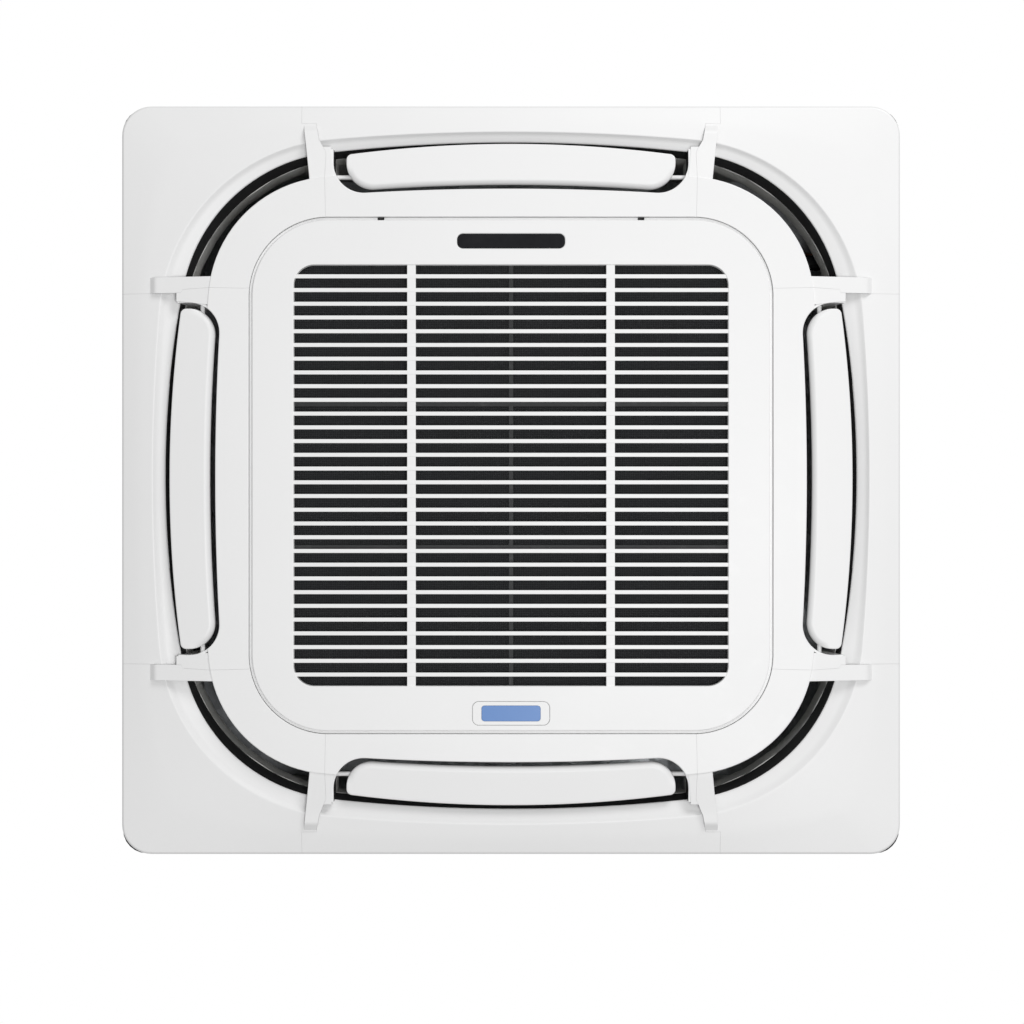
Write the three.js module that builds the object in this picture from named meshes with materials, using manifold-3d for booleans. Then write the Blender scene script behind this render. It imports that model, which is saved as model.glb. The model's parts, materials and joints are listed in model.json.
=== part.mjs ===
// Ceiling cassette air conditioner, four-way, with a hinged intake grille.
// Millimetres, +Z up. The origin is the middle of the ceiling plane: the decorative panel
// hangs below it and the casing stands above it. -Y is the display side, +Y the latch side.
import * as THREE from 'three';
import { mergeVertices } from 'three/addons/utils/BufferGeometryUtils.js';
import Module from 'manifold-3d';

const wasm = await Module();
wasm.setup();

// ---------------------------------------------------------------- driving dimensions
const PANEL_WIDTH = 950;
const PANEL_DEPTH = 913;
const PANEL_CORNER = 36;
const SKIN = 2.8; // wall of every moulding of the panel
const SEAM = 0.4; // gap between neighbouring mouldings
const TOUCH = 0.3; // gap between pieces that rest on each other
const STRAIGHT = 1e7; // bow radius that reads as a straight side
const SIDE_BOW = 2700; // bow radius of the panel's slightly curved sides
const EDGE_SHIFT = 5.5; // the outer edge sits this much towards the latch side of the ring
const CREST_SHIFT = 2.6; // the same for the crest of the outer frame
const SIDE_SLOT_SHIFT = 4; // the left and right slots, louvers and bridges likewise

// Ceiling seal, foam
const SEAL_THICKNESS = 4;
const SEAL_WIDTH = 20;
const SEAL_CORNER = 29;
const SEAL_SHIFT = 0.8; // stuck on a little towards the latch side

// Outer frame and air-turning groove, widths measured inwards from the panel's edge
const FRAME_SIDE_X = 38.5;
const FRAME_SIDE_Y = 35;
const FRAME_CORNER = 227;
const GROOVE_X = 14;
const GROOVE_Y = 14.8;
const GROOVE_STEEP = 5.5; // the steep first band of the groove
const LIP_CORNER = 204;
const LIP_BOW_X = 1190;
const LIP_BOW_Y = 2010;
const WALL_LEAN_X = 13.4;
const WALL_LEAN_Y = 8.4;
const WALL_CORNER = 212;

// Heights of the panel, below the ceiling
const EDGE_HEIGHT = 8.5; // the panel's outer wall
const FRAME_PITCH = 7.4; // fall of the outer frame from its edge to the groove
const GROOVE_STEP = 7; // rise of the groove's steep band
const GROOVE_RISE = 5; // rise of the rest of the groove
const RING_DEPTH = 34; // the ring's face below the ceiling
const DUCT_TOP = 12; // top of the panel's duct walls, above the ceiling

// Side slots and louvers
const SLOT_SIDE_X = 64;
const SLOT_SIDE_Y = 59.1;
const SLOT_HALF_X_SIDE = 213.9; // half length of the slots on the left and right
const SLOT_HALF_Y_SIDE = 215.4;
const SLOT_CORNER = 37;
const SLOT_BOW = 3135;
const LOUVER_END_GAP_X_SIDE = 7.2;
const LOUVER_END_GAP_Y_SIDE = 15.6;
const LOUVER_INNER_GAP_X = 7;
const LOUVER_INNER_GAP_Y = 5.5;
const LOUVER_OUTER_GAP_X = 7.5;
const LOUVER_OUTER_GAP_Y = 6.1;
const LOUVER_INNER_BOW = 2350;
const LOUVER_OUTER_BOW = 1500;
const LOUVER_CORNER_SHARE = 0.64; // radius of the inner corners, as a share of its width
const LOUVER_OUTER_CORNER = 7;
const LOUVER_THICKNESS = 2.6;
const LOUVER_RECESS = 4; // the louver's inner edge above the ring's face
const LOUVER_TILT = 4; // its outer edge lies this much higher
const LOUVER_LIP = 5; // rolled inner edge
const SHAFT_INSET = 10; // shaft axis, outwards from the louver's inner edge
const SHAFT_RISE = 12.5; // shaft axis above the louver's lowest line
const SHAFT_RADIUS = 2.75;
const SHAFT_PLAY = 0.25;
const EAR_LENGTH = 16;
const EAR_WIDTH = 9;
const MOTOR_RADIUS = 9.8;
const MOTOR_LENGTH = 16;
const CLIP_LENGTH = 6;
const CLIP_WIDTH = 13;
const CLIP_HEIGHT = 16;

// Corner covers and bridge bars: distances along a side from its middle
const RING_CORNER_X = 33.2; // ring outline at the corners, inwards from the duct wall
const RING_CORNER_Y = 27;
const RING_CORNER_RADIUS = 152.6;
const BAR_Y_SIDE = { edgeSeam: 255.1, blockOuter: 252.1, ringOuter: 243.3, seamBlock: 237.2,
  seamFrame: 233.3, seamLip: 225.3, seamGroove: 224.6, seamRing: 225.8, inner: 218.1, innerRing: 213.6 };
const BAR_X_SIDE = { edgeSeam: 225.5, blockOuter: 244.7, ringOuter: 245.6, seamBlock: 225.5,
  seamFrame: 225.7, seamLip: 225.8, seamGroove: 229.9, seamRing: 231.8, inner: 215.2, innerRing: 209.7 };
const BLOCK_LENGTH_X = 15.5; // how far a block reaches out over the outer frame
const BLOCK_LENGTH_Y = 20.6;
const BLOCK_STAND = 5; // how far a block stands off the outer frame
const BAR_DROP = 1.5; // a bar's face above the ring's face

// Intake grille
const RING_SIDE_X = 40.6; // ring width beside the slots
const RING_SIDE_Y = 34.1;
const GRILLE_GAP = 4.2;
const GRILLE_CORNER = 92;
const GRILLE_PROUD = 1; // the grille's face below the ring's face
const GRILLE_SKIN = 3;
const GRILLE_RIM = 20;
const GRILLE_LEDGE = 3.6; // the ledge round the rim that closes the gap from behind
const GRILLE_LEDGE_RISE = 4.8; // the ledge above the grille's face
const GRILLE_LEDGE_THICKNESS = 1.8;
const WALL_NOTCH = 2.3; // depth of the notches in the corners of the wall round the opening
const INTAKE_MARGIN_X = 50.3;
const INTAKE_MARGIN_Y = 54;
const INTAKE_CORNER = 25;
const INTAKE_WALL = 15;
const SLAT_PITCH = 16.64;
const SLAT_THICKNESS = 5.03;
const SLAT_DEPTH = 12;
const SLAT_RECESS = 0.8;
const UPRIGHT_OFFSET = 120.7;
const UPRIGHT_WIDTH = 10.4;
const RECESS_WALL_TOP = 8; // top of the wall round the grille, below the ceiling

// Grille hinge
const HINGE_OFFSET = 157.7; // hooks, left and right of the middle
const HINGE_INSET = 5; // axis from the grille's edge
const HINGE_RISE = 2.7; // axis above the grille's face, low enough that the corners swing clear
const HINGE_PIN_RADIUS = 1;
const HINGE_PLAY = 0.2;
const HINGE_PIN_LENGTH = 24;
const HOOK_WIDTH = 6;
const HOOK_THICKNESS = 3.6;
const HOOK_PLAY = 0.3; // from a hook's eye to the thin skin left of the face below it
const HOOK_CLEARANCE = 3; // hook arm above the grille's rim
const CHEEK_THICKNESS = 3;
const CHEEK_GAP = 1;

// Display and latch
const DISPLAY_LENGTH = 130.5;
const DISPLAY_WIDTH = 17.8;
const DISPLAY_CORNER = 7;
const DISPLAY_OFFSET = 283.9;
const DISPLAY_LENS_THICKNESS = 2;
const DISPLAY_BOARD_THICKNESS = 1.6;
const BUTTON_LENGTH = 94.2;
const BUTTON_WIDTH = 29.3;
const BUTTON_CORNER = 8;
const BUTTON_OFFSET = 288.3;
const BUTTON_PLAY = 0.4;
const BUTTON_TRAVEL = 2.5;
const BADGE_LENGTH = 71.4;
const BADGE_WIDTH = 18.9;
const BADGE_CORNER = 3.7;
const BADGE_THICKNESS = 1.2;
const BUTTON_FLANGE = 2.4; // the flange behind the grille, wider than the button all round
const BUTTON_FLANGE_THICKNESS = 1.2;
const STRIKER_WIDTH = 14;
const STRIKER_THICKNESS = 4;
const STRIKER_HEIGHT = 13;
const CATCH_PLAY = 1; // between the striker and each jaw of the catch
const CATCH_JAW = 2.5;
const SPRING_RADIUS = 3;
const SPRING_WIRE = 0.5;
const SPRING_LENGTH = 7;
const SPRING_SEAT = 2.5; // thickness of the ledge above the spring
const SPRING_TURNS = 4;
const SPRING_OFFSET = 30;

// Air filter
const FILTER_OVERLAP = 12;
const FILTER_THICKNESS = 6;
const FILTER_BORDER = 9;
const FILTER_NET_THICKNESS = 0.8;

// Casing
const CASING_MARGIN_X = 55; // panel edge to casing side
const CASING_MARGIN_Y = 50;
const CASING_HEIGHT = 246;
const CASING_CHAMFER = 70;
const CASING_FOOT = 8; // casing's lower edge above the ceiling plane
const CASING_FLANGE = 8;
const SHEET = 1.2;
const TOP_RIM = 8;
const EMBOSS_RADIUS = 150;
const EMBOSS_HEIGHT = 4;
const LINER_THICKNESS = 12;
const PAN_HEIGHT = 50;
const PAN_OPENING_X = 275;
const PAN_OPENING_Y = 264;
const PAN_OPENING_CORNER = 60;
const PAN_LEDGE = 9;
const PAN_LEDGE_HEIGHT = 29;
const TROUGH_DEPTH = 18;
const TROUGH_PLAY = 5;

// Heat exchanger and pipes
const COIL_INSET = 30; // coil's outer face, inwards from the slots' inner edges
const COIL_THICKNESS = 38;
const COIL_CORNER = 70;
const COIL_TOP_GAP = 4;
const COIL_END_CUT = 120; // the open corner of the coil
const GAS_PIPE_RADIUS = 7.95;
const LIQUID_PIPE_RADIUS = 4.75;
const PIPE_REACH = 46; // beyond the casing's side
const PIPE_Y = -248;
const PIPE_SPACING = 42;
const GAS_PIPE_Z = 168;
const DRAIN_Z = 122;
const DRAIN_RADIUS = 13;
const FLARE_NUT_LENGTH = 18;

// Fan
const FAN_CLEARANCE = 36; // fan's rim to the coil
const FAN_INLET_RADIUS = 172;
const FAN_BASE_Z = 72;
const FAN_HEIGHT = 142;
const FAN_HUB_RADIUS = 95;
const FAN_HUB_DROP = 88;
const FAN_PLATE = 3;
const BLADE_COUNT = 7;
const BLADE_THICKNESS = 3.5;
const SHAFT_FAN_RADIUS = 6;
const FAN_BORE_PLAY = 0.3;
const MOTOR_BODY_RADIUS = 72;
const MOTOR_BODY_HEIGHT = 64;
const BELL_INLET_RADIUS = 205;
const BELL_THROAT_RADIUS = 166;
const BELL_HEIGHT = 42;

// Drain pump
const PUMP_RADIUS = 25;
const PUMP_HEIGHT = 84;
const HOSE_BORE = 7; // radius of the pump's outlet and the socket's spigot
const SOCKET_LENGTH = 56;
const SUMP_RADIUS = 33;

// Control box
const BOX_WIDTH = 58;
const BOX_LENGTH = 300;
const BOX_HEIGHT = 40;
const BOX_WALL = 1.5;

// Hanger brackets
const HANGER_HEIGHT = 118; // tab above the ceiling plane
const HANGER_WIDTH = 60;
const HANGER_REACH = 36;
const HANGER_SHEET = 3;
const HANGER_SLOT_RADIUS = 6.5;
const HANGER_DROP = 40;

// ---------------------------------------------------------------- finishes
function finish(colour, roughness, metalness = 0) {
  return () => new THREE.MeshStandardMaterial({ color: colour, roughness, metalness });
}
const whitePlastic = finish(0xf1f1ef, 0.42);
const greyPlastic = finish(0x8d9092, 0.5);
const blackPlastic = finish(0x141414, 0.35);
const darkPlastic = finish(0x2b2d2f, 0.55);
const bluePlastic = finish(0x5b8acc, 0.4);
const foamBlack = finish(0x101010, 0.9);
const foamWhite = finish(0xe2e3e0, 0.85);
const galvanised = finish(0xb9bdc0, 0.45, 0.8);
const copper = finish(0xb8754a, 0.35, 0.9);
const brassMetal = finish(0xb59a57, 0.35, 0.9);
const steel = finish(0x9c9fa3, 0.35, 0.9);
const finAluminium = finish(0xaeb4ba, 0.5, 0.8);
const boardGreen = finish(0x1f6b3c, 0.5);
const netGrey = finish(0x3b3f42, 0.8);

// ---------------------------------------------------------------- solids
function solid(geometry) {
  const bare = geometry.clone();
  for (const name of Object.keys(bare.attributes)) {
    if (name !== 'position') {
      bare.deleteAttribute(name);
    }
  }
  const merged = mergeVertices(bare, 1e-4);
  const position = merged.attributes.position;
  const index = merged.index.array;
  const kept = [];
  for (let i = 0; i < index.length; i += 3) {
    const [a, b, c] = [index[i], index[i + 1], index[i + 2]];
    if (a !== b && b !== c && c !== a) {
      kept.push(a, b, c);
    }
  }
  if (signedVolume(position, kept) < 0) {
    for (let i = 0; i < kept.length; i += 3) {
      [kept[i + 1], kept[i + 2]] = [kept[i + 2], kept[i + 1]];
    }
  }
  const mesh = new wasm.Mesh({
    numProp: 3,
    vertProperties: new Float32Array(position.array),
    triVerts: new Uint32Array(kept),
  });
  return new wasm.Manifold(mesh);
}

function signedVolume(position, index) {
  const a = new THREE.Vector3();
  const b = new THREE.Vector3();
  const c = new THREE.Vector3();
  let sum = 0;
  for (let i = 0; i < index.length; i += 3) {
    a.fromBufferAttribute(position, index[i]);
    b.fromBufferAttribute(position, index[i + 1]);
    c.fromBufferAttribute(position, index[i + 2]);
    sum += a.dot(b.cross(c));
  }
  return sum;
}

function join(...parts) {
  return parts.reduce((whole, part) => whole.add(part));
}

function cut(body, ...tools) {
  return tools.reduce((whole, tool) => whole.subtract(tool), body);
}

function surface(body) {
  const mesh = body.getMesh();
  const geometry = new THREE.BufferGeometry();
  geometry.setAttribute('position', new THREE.BufferAttribute(new Float32Array(mesh.vertProperties), 3));
  geometry.setIndex(new THREE.BufferAttribute(new Uint32Array(mesh.triVerts), 1));
  return geometry;
}

function piece(name, body, material, parent) {
  const geometry = body.isBufferGeometry ? body : surface(body);
  const mesh = new THREE.Mesh(geometry, material());
  mesh.name = name;
  parent.add(mesh);
  return mesh;
}

function placed(geometry, x = 0, y = 0, z = 0) {
  return solid(geometry.translate(x, y, z));
}

function box(x0, x1, y0, y1, z0, z1) {
  const geometry = new THREE.BoxGeometry(x1 - x0, y1 - y0, z1 - z0);
  return placed(geometry, (x0 + x1) / 2, (y0 + y1) / 2, (z0 + z1) / 2);
}

// An upright prism over a plan shape, from z0 to z1.
function prism(shape, z0, z1, curveSegments = 4) {
  const options = { depth: z1 - z0, bevelEnabled: false, curveSegments };
  return placed(new THREE.ExtrudeGeometry(shape, options), 0, 0, z0);
}

function shapeOf(points) {
  return new THREE.Shape(points.map(([x, y]) => new THREE.Vector2(x, y)));
}

// A rod of radius r along one axis ('x', 'y' or 'z'), starting at a point.
function rod(r, length, axis, x, y, z, sides = 16) {
  const geometry = new THREE.CylinderGeometry(r, r, length, sides);
  geometry.translate(0, length / 2, 0);
  if (axis === 'x') {
    geometry.rotateZ(-Math.PI / 2);
  }
  if (axis === 'z') {
    geometry.rotateX(Math.PI / 2);
  }
  return placed(geometry, x, y, z);
}

// A turned body about Z: profile points are [radius, z].
function turned(profile, segments = 24) {
  const points = profile.map(([r, z]) => new THREE.Vector2(r, z));
  const geometry = new THREE.LatheGeometry(points, segments);
  geometry.rotateX(Math.PI / 2);
  return solid(geometry);
}

// A section in (v, z) swept along u: v points away from the middle of a side, u along it.
const SECTION_TO_SIDE = new THREE.Matrix4().makeBasis(
  new THREE.Vector3(0, 1, 0), new THREE.Vector3(0, 0, 1), new THREE.Vector3(1, 0, 0));

function sweep(section, u0, u1) {
  const options = { depth: u1 - u0, bevelEnabled: false };
  const geometry = new THREE.ExtrudeGeometry(shapeOf(section), options);
  geometry.translate(0, 0, u0);
  geometry.applyMatrix4(SECTION_TO_SIDE);
  return solid(geometry);
}

function turn(body, degrees) {
  return body.rotate([0, 0, degrees]);
}

function roundedRect(halfX, halfY, r, x = 0, y = 0) {
  const shape = new THREE.Shape();
  shape.moveTo(x + halfX, y - halfY + r);
  shape.lineTo(x + halfX, y + halfY - r);
  shape.absarc(x + halfX - r, y + halfY - r, r, 0, Math.PI / 2);
  shape.lineTo(x - halfX + r, y + halfY);
  shape.absarc(x - halfX + r, y + halfY - r, r, Math.PI / 2, Math.PI);
  shape.lineTo(x - halfX, y - halfY + r);
  shape.absarc(x - halfX + r, y - halfY + r, r, Math.PI, Math.PI * 1.5);
  shape.lineTo(x + halfX - r, y - halfY);
  shape.absarc(x + halfX - r, y - halfY + r, r, Math.PI * 1.5, Math.PI * 2);
  return shape;
}

// ---------------------------------------------------------------- bowed outlines
// An outline has half sizes hx and hy, sides bowed at radii bowX and bowY, and corners of
// radius rc that run smoothly into the sides. Its middle lies dy away from the ring's. A
// square outline has straight sides.
function grown(o, d) {
  return { ...o, hx: o.hx + d, hy: o.hy + d, bowX: o.bowX + d, bowY: o.bowY + d, rc: o.rc + d };
}

function arcsOf(o) {
  const right = new THREE.Vector2(o.hx - o.bowX, 0);
  const top = new THREE.Vector2(0, o.hy - o.bowY);
  const reachRight = o.bowX - o.rc;
  const reachTop = o.bowY - o.rc;
  const apart = right.distanceTo(top);
  const along = (reachRight ** 2 - reachTop ** 2 + apart ** 2) / (2 * apart);
  const aside = Math.sqrt(reachRight ** 2 - along ** 2);
  const u = top.clone().sub(right).divideScalar(apart);
  const centre = right.clone().addScaledVector(u, along);
  centre.addScaledVector(new THREE.Vector2(-u.y, u.x), aside);
  const onRight = centre.clone().sub(right).setLength(o.bowX).add(right);
  const onTop = centre.clone().sub(top).setLength(o.bowY).add(top);
  return { right, top, centre, onRight, onTop };
}

function rayToCircle(angle, centre, radius) {
  const ray = new THREE.Vector2(Math.cos(angle), Math.sin(angle));
  const along = ray.dot(centre);
  const reach = along + Math.sqrt(radius ** 2 - centre.lengthSq() + along ** 2);
  return ray.multiplyScalar(reach);
}

function pointAt(o, arcs, angle) {
  if (angle <= Math.atan2(arcs.onRight.y, arcs.onRight.x)) {
    return rayToCircle(angle, arcs.right, o.bowX);
  }
  if (angle >= Math.atan2(arcs.onTop.y, arcs.onTop.x)) {
    return rayToCircle(angle, arcs.top, o.bowY);
  }
  return rayToCircle(angle, arcs.centre, o.rc);
}

const PANEL = { hx: PANEL_WIDTH / 2, hy: PANEL_DEPTH / 2, bowX: STRAIGHT, bowY: STRAIGHT,
  rc: PANEL_CORNER, dy: EDGE_SHIFT };

// Stations round every outline: the same polar angles, closer together at the corners.
function stationAngles() {
  const { onRight, onTop } = arcsOf(PANEL);
  const first = Math.atan2(onRight.y, onRight.x);
  const last = Math.atan2(onTop.y, onTop.x);
  const degrees = [0, 13, 23, 29.5, 34, 38.5];
  const quarter = degrees.map((d) => THREE.MathUtils.degToRad(d));
  for (let i = 0; i <= 4; i += 1) {
    quarter.push(first + ((last - first) * i) / 4);
  }
  for (const d of [...degrees].reverse()) {
    quarter.push(Math.PI / 2 - THREE.MathUtils.degToRad(d));
  }
  return quarter;
}
const STATIONS = stationAngles();

// The same count of points on a straight-sided outline, closest together on its corners.
function squareQuarter(o) {
  const points = [new THREE.Vector2(o.hx, 0), new THREE.Vector2(o.hx, (o.hy - o.rc) / 2)];
  const count = STATIONS.length - 4;
  for (let i = 0; i < count; i += 1) {
    const angle = ((Math.PI / 2) * i) / (count - 1);
    const [x, y] = [o.hx - o.rc + o.rc * Math.cos(angle), o.hy - o.rc + o.rc * Math.sin(angle)];
    points.push(new THREE.Vector2(x, y));
  }
  points.push(new THREE.Vector2((o.hx - o.rc) / 2, o.hy), new THREE.Vector2(0, o.hy));
  return points;
}

function loop(o) {
  const arcs = o.square ? null : arcsOf(o);
  const quarter = o.square ? squareQuarter(o) : STATIONS.map((angle) => pointAt(o, arcs, angle));
  const points = [];
  for (const [sx, sy, forward] of [[1, 1, true], [-1, 1, false], [-1, -1, true], [1, -1, false]]) {
    const run = quarter.map((p) => new THREE.Vector2(sx * p.x, sy * p.y + (o.dy ?? 0)));
    if (!forward) {
      run.reverse();
    }
    points.push(...run.slice(0, -1));
  }
  return points;
}

function between(a, b, t) {
  return a.map((p, i) => p.clone().lerp(b[i], t));
}

// A closed band round the panel: rows are [loop, z] and close on the first.
function band(rows) {
  const count = rows[0][0].length;
  const positions = [];
  const index = [];
  for (const [points, z] of rows) {
    for (const p of points) {
      positions.push(p.x, p.y, z);
    }
  }
  for (let r = 0; r < rows.length; r += 1) {
    const next = (r + 1) % rows.length;
    for (let i = 0; i < count; i += 1) {
      const j = (i + 1) % count;
      const [a, b, c, d] = [r * count + i, r * count + j, next * count + j, next * count + i];
      index.push(a, b, c, a, c, d);
    }
  }
  return solid(indexed(positions, index));
}

// A solid plug: rows are [loop, z] from the lowest to the highest, with flat ends.
function plug(rows) {
  const count = rows[0][0].length;
  const positions = [];
  const index = [];
  for (const [points, z] of rows) {
    for (const p of points) {
      positions.push(p.x, p.y, z);
    }
  }
  for (let r = 0; r + 1 < rows.length; r += 1) {
    for (let i = 0; i < count; i += 1) {
      const j = (i + 1) % count;
      const [a, b, c, d] = [r * count + i, r * count + j, (r + 1) * count + j, (r + 1) * count + i];
      index.push(a, b, c, a, c, d);
    }
  }
  const last = (rows.length - 1) * count;
  for (const [a, b, c] of THREE.ShapeUtils.triangulateShape(rows[0][0], [])) {
    index.push(a, c, b);
  }
  for (const [a, b, c] of THREE.ShapeUtils.triangulateShape(rows[rows.length - 1][0], [])) {
    index.push(last + a, last + b, last + c);
  }
  return solid(indexed(positions, index));
}

function indexed(positions, index) {
  const geometry = new THREE.BufferGeometry();
  geometry.setAttribute('position', new THREE.Float32BufferAttribute(positions, 3));
  geometry.setIndex(index);
  return geometry;
}

// ---------------------------------------------------------------- outlines of the panel
const FRAME_EDGE = { hx: PANEL.hx - FRAME_SIDE_X, hy: PANEL.hy - FRAME_SIDE_Y,
  bowX: SIDE_BOW - 220, bowY: SIDE_BOW - 155, rc: FRAME_CORNER, dy: CREST_SHIFT };
const DUCT_LIP = { hx: FRAME_EDGE.hx - GROOVE_X, hy: FRAME_EDGE.hy - GROOVE_Y,
  bowX: LIP_BOW_X, bowY: LIP_BOW_Y, rc: LIP_CORNER };
const DUCT_WALL = { hx: DUCT_LIP.hx - WALL_LEAN_X, hy: DUCT_LIP.hy - WALL_LEAN_Y,
  bowX: SIDE_BOW, bowY: SIDE_BOW, rc: WALL_CORNER };
const RING_EDGE = { hx: DUCT_WALL.hx - RING_CORNER_X, hy: DUCT_WALL.hy - RING_CORNER_Y,
  bowX: SIDE_BOW, bowY: SIDE_BOW, rc: RING_CORNER_RADIUS };
const SLOT_EDGE_X = DUCT_LIP.hx - SLOT_SIDE_X;
const SLOT_EDGE_Y = DUCT_LIP.hy - SLOT_SIDE_Y;
const GRILLE_HALF_X = SLOT_EDGE_X - RING_SIDE_X - GRILLE_GAP;
const GRILLE_HALF_Y = SLOT_EDGE_Y - RING_SIDE_Y - GRILLE_GAP;
const GRILLE = { hx: GRILLE_HALF_X, hy: GRILLE_HALF_Y, rc: GRILLE_CORNER, square: true };
const RECESS = grown(GRILLE, GRILLE_GAP);

// ---------------------------------------------------------------- levels
const BACK = -SEAL_THICKNESS - TOUCH;
const EDGE = BACK - EDGE_HEIGHT;
const CREST = EDGE - FRAME_PITCH;
const GROOVE = CREST + GROOVE_STEP;
const LIP = GROOVE + GROOVE_RISE;
const RING_FACE = -RING_DEPTH;
const RING_BACK = RING_FACE + SKIN;
const GRILLE_FACE = RING_FACE - GRILLE_PROUD;
const LOUVER_FACE = RING_FACE + LOUVER_RECESS;
const SHAFT_Z = LOUVER_FACE + SHAFT_RISE;
const PAN_BASE = DUCT_TOP + SEAM;

// ---------------------------------------------------------------- the four sides
// Each side is modelled along +Y and turned into place: v points outwards, u along the side.
const SIDES = [
  { name: 'rear', angle: 0, along: 'Y', facing: 1 },
  { name: 'left', angle: 90, along: 'X', facing: 0 },
  { name: 'front', angle: 180, along: 'Y', facing: -1 },
  { name: 'right', angle: 270, along: 'X', facing: 0 },
].map((side) => {
  const y = side.along === 'Y';
  const bar = y ? BAR_Y_SIDE : BAR_X_SIDE;
  return {
    ...side,
    bar,
    shift: y ? 0 : SIDE_SLOT_SHIFT,
    crestAt: reachAt(FRAME_EDGE, side.along, bar.seamFrame) + side.facing * CREST_SHIFT,
    lipAt: reachAt(DUCT_LIP, side.along, bar.seamLip),
    ringAt: reachAt(RING_EDGE, side.along, bar.ringOuter),
    lip: y ? DUCT_LIP.hy : DUCT_LIP.hx,
    slotEdge: y ? SLOT_EDGE_Y : SLOT_EDGE_X,
    slotHalf: y ? SLOT_HALF_Y_SIDE : SLOT_HALF_X_SIDE,
    louverHalf: y ? SLOT_HALF_Y_SIDE - LOUVER_END_GAP_Y_SIDE : SLOT_HALF_X_SIDE - LOUVER_END_GAP_X_SIDE,
    louverInner: y ? SLOT_EDGE_Y + LOUVER_INNER_GAP_Y : SLOT_EDGE_X + LOUVER_INNER_GAP_X,
    louverOuter: y ? DUCT_LIP.hy - LOUVER_OUTER_GAP_Y : DUCT_LIP.hx - LOUVER_OUTER_GAP_X,
    panelHalf: y ? PANEL.hy + side.facing * EDGE_SHIFT : PANEL.hx,
    block: y ? BLOCK_LENGTH_Y : BLOCK_LENGTH_X,
  };
});

// How far out an outline reaches at a distance u along a side.
function reachAt(o, along, u) {
  const { centre, onRight, onTop } = arcsOf(o);
  if (along === 'Y') {
    const straight = u <= onTop.x;
    return straight ? o.hy - o.bowY + Math.sqrt(o.bowY ** 2 - u ** 2)
      : centre.y + Math.sqrt(o.rc ** 2 - (u - centre.x) ** 2);
  }
  const straight = u <= onRight.y;
  return straight ? o.hx - o.bowX + Math.sqrt(o.bowX ** 2 - u ** 2)
    : centre.x + Math.sqrt(o.rc ** 2 - (u - centre.y) ** 2);
}

// Plan outline of a slot or a louver: bowed inner and outer edges, straight ends.
function vaneShape({ half, inner, innerBow, innerRound, outer, outerBow, outerRound }) {
  const innerCentre = inner - innerBow;
  const outerCentre = outer - outerBow;
  const ui = half - innerRound;
  const vi = innerCentre + Math.sqrt((innerBow + innerRound) ** 2 - ui ** 2);
  const uo = half - outerRound;
  const vo = outerCentre + Math.sqrt((outerBow - outerRound) ** 2 - uo ** 2);
  const innerAngle = Math.atan2(vi - innerCentre, ui);
  const outerAngle = Math.atan2(vo - outerCentre, uo);
  const shape = new THREE.Shape();
  shape.moveTo(-half, vo);
  shape.lineTo(-half, vi);
  shape.absarc(-ui, vi, innerRound, Math.PI, Math.PI * 2 - innerAngle, false);
  shape.absarc(0, innerCentre, innerBow, Math.PI - innerAngle, innerAngle, true);
  shape.absarc(ui, vi, innerRound, Math.PI + innerAngle, Math.PI * 2, false);
  shape.lineTo(half, vo);
  shape.absarc(uo, vo, outerRound, 0, outerAngle, false);
  shape.absarc(0, outerCentre, outerBow, outerAngle, Math.PI - outerAngle, false);
  shape.absarc(-uo, vo, outerRound, Math.PI - outerAngle, Math.PI, false);
  return shape;
}

function slotShape(side, grow) {
  return vaneShape({
    half: side.slotHalf + grow,
    inner: side.slotEdge - grow,
    innerBow: SLOT_BOW - grow,
    innerRound: SLOT_CORNER + grow,
    outer: side.lip + GROOVE_STEEP * 2,
    outerBow: SIDE_BOW,
    outerRound: LOUVER_OUTER_CORNER,
  });
}

// Face of a bridge bar and its block, as a line of [v, z] from the block's end to the ring.
function barFace(side) {
  const end = side.crestAt + side.block;
  return [
    [end, frameFaceAt(side, end)],
    [end - side.block / 2, CREST - BLOCK_STAND],
    [side.crestAt - SKIN, CREST - BLOCK_STAND - 1],
    [side.ringAt + SKIN, RING_FACE + BAR_DROP],
    [side.ringAt - SKIN, RING_FACE + BAR_DROP],
  ];
}

function frameFaceAt(side, v) {
  const share = (side.panelHalf - v) / (side.panelHalf - side.crestAt);
  return EDGE + (CREST - EDGE) * share + 1;
}

// The room above the bars' faces, where walls may stand.
function aboveFace(side) {
  const [end, blockFace, crest, ringSide] = barFace(side);
  const section = [
    [side.slotEdge - 60, DUCT_TOP],
    [side.slotEdge - 60, RING_FACE + 1],
    [side.ringAt - SKIN, RING_FACE + 1],
    [ringSide[0], ringSide[1] + 1],
    [crest[0], crest[1] + 1],
    [blockFace[0], blockFace[1] + 1],
    [end[0] + 10, DUCT_TOP],
  ];
  return sweep(section, -side.slotHalf - 60, side.slotHalf + 60);
}

function barSolid(side, plan) {
  const face = barFace(side);
  const back = face.map(([v, z], i) => [v, i === 0 ? z + 1.2 : z + SKIN]).reverse();
  const section = [...face, ...back];
  const long = sweep(section, -side.panelHalf, side.panelHalf);
  return join(...[1, -1].map((sign) => {
    const mirrored = shapeOf(plan.map(([u, v]) => [sign * u, v]));
    return prism(mirrored, RING_FACE - 20, DUCT_TOP + 20).intersect(long);
  }));
}

function cornerBar(side) {
  const { bar } = side;
  const end = side.crestAt + side.block;
  return barSolid(side, [
    [bar.blockOuter, end + 5], [bar.blockOuter, end - 2],
    [bar.ringOuter, side.ringAt - SKIN * 2], [bar.seamRing - 20, side.ringAt - SKIN * 2],
    [bar.seamGroove - 20, side.lipAt + GROOVE_STEEP], [bar.seamFrame - 1, side.crestAt - 1],
    [bar.seamBlock - 1, end + 5],
  ]);
}

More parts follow.
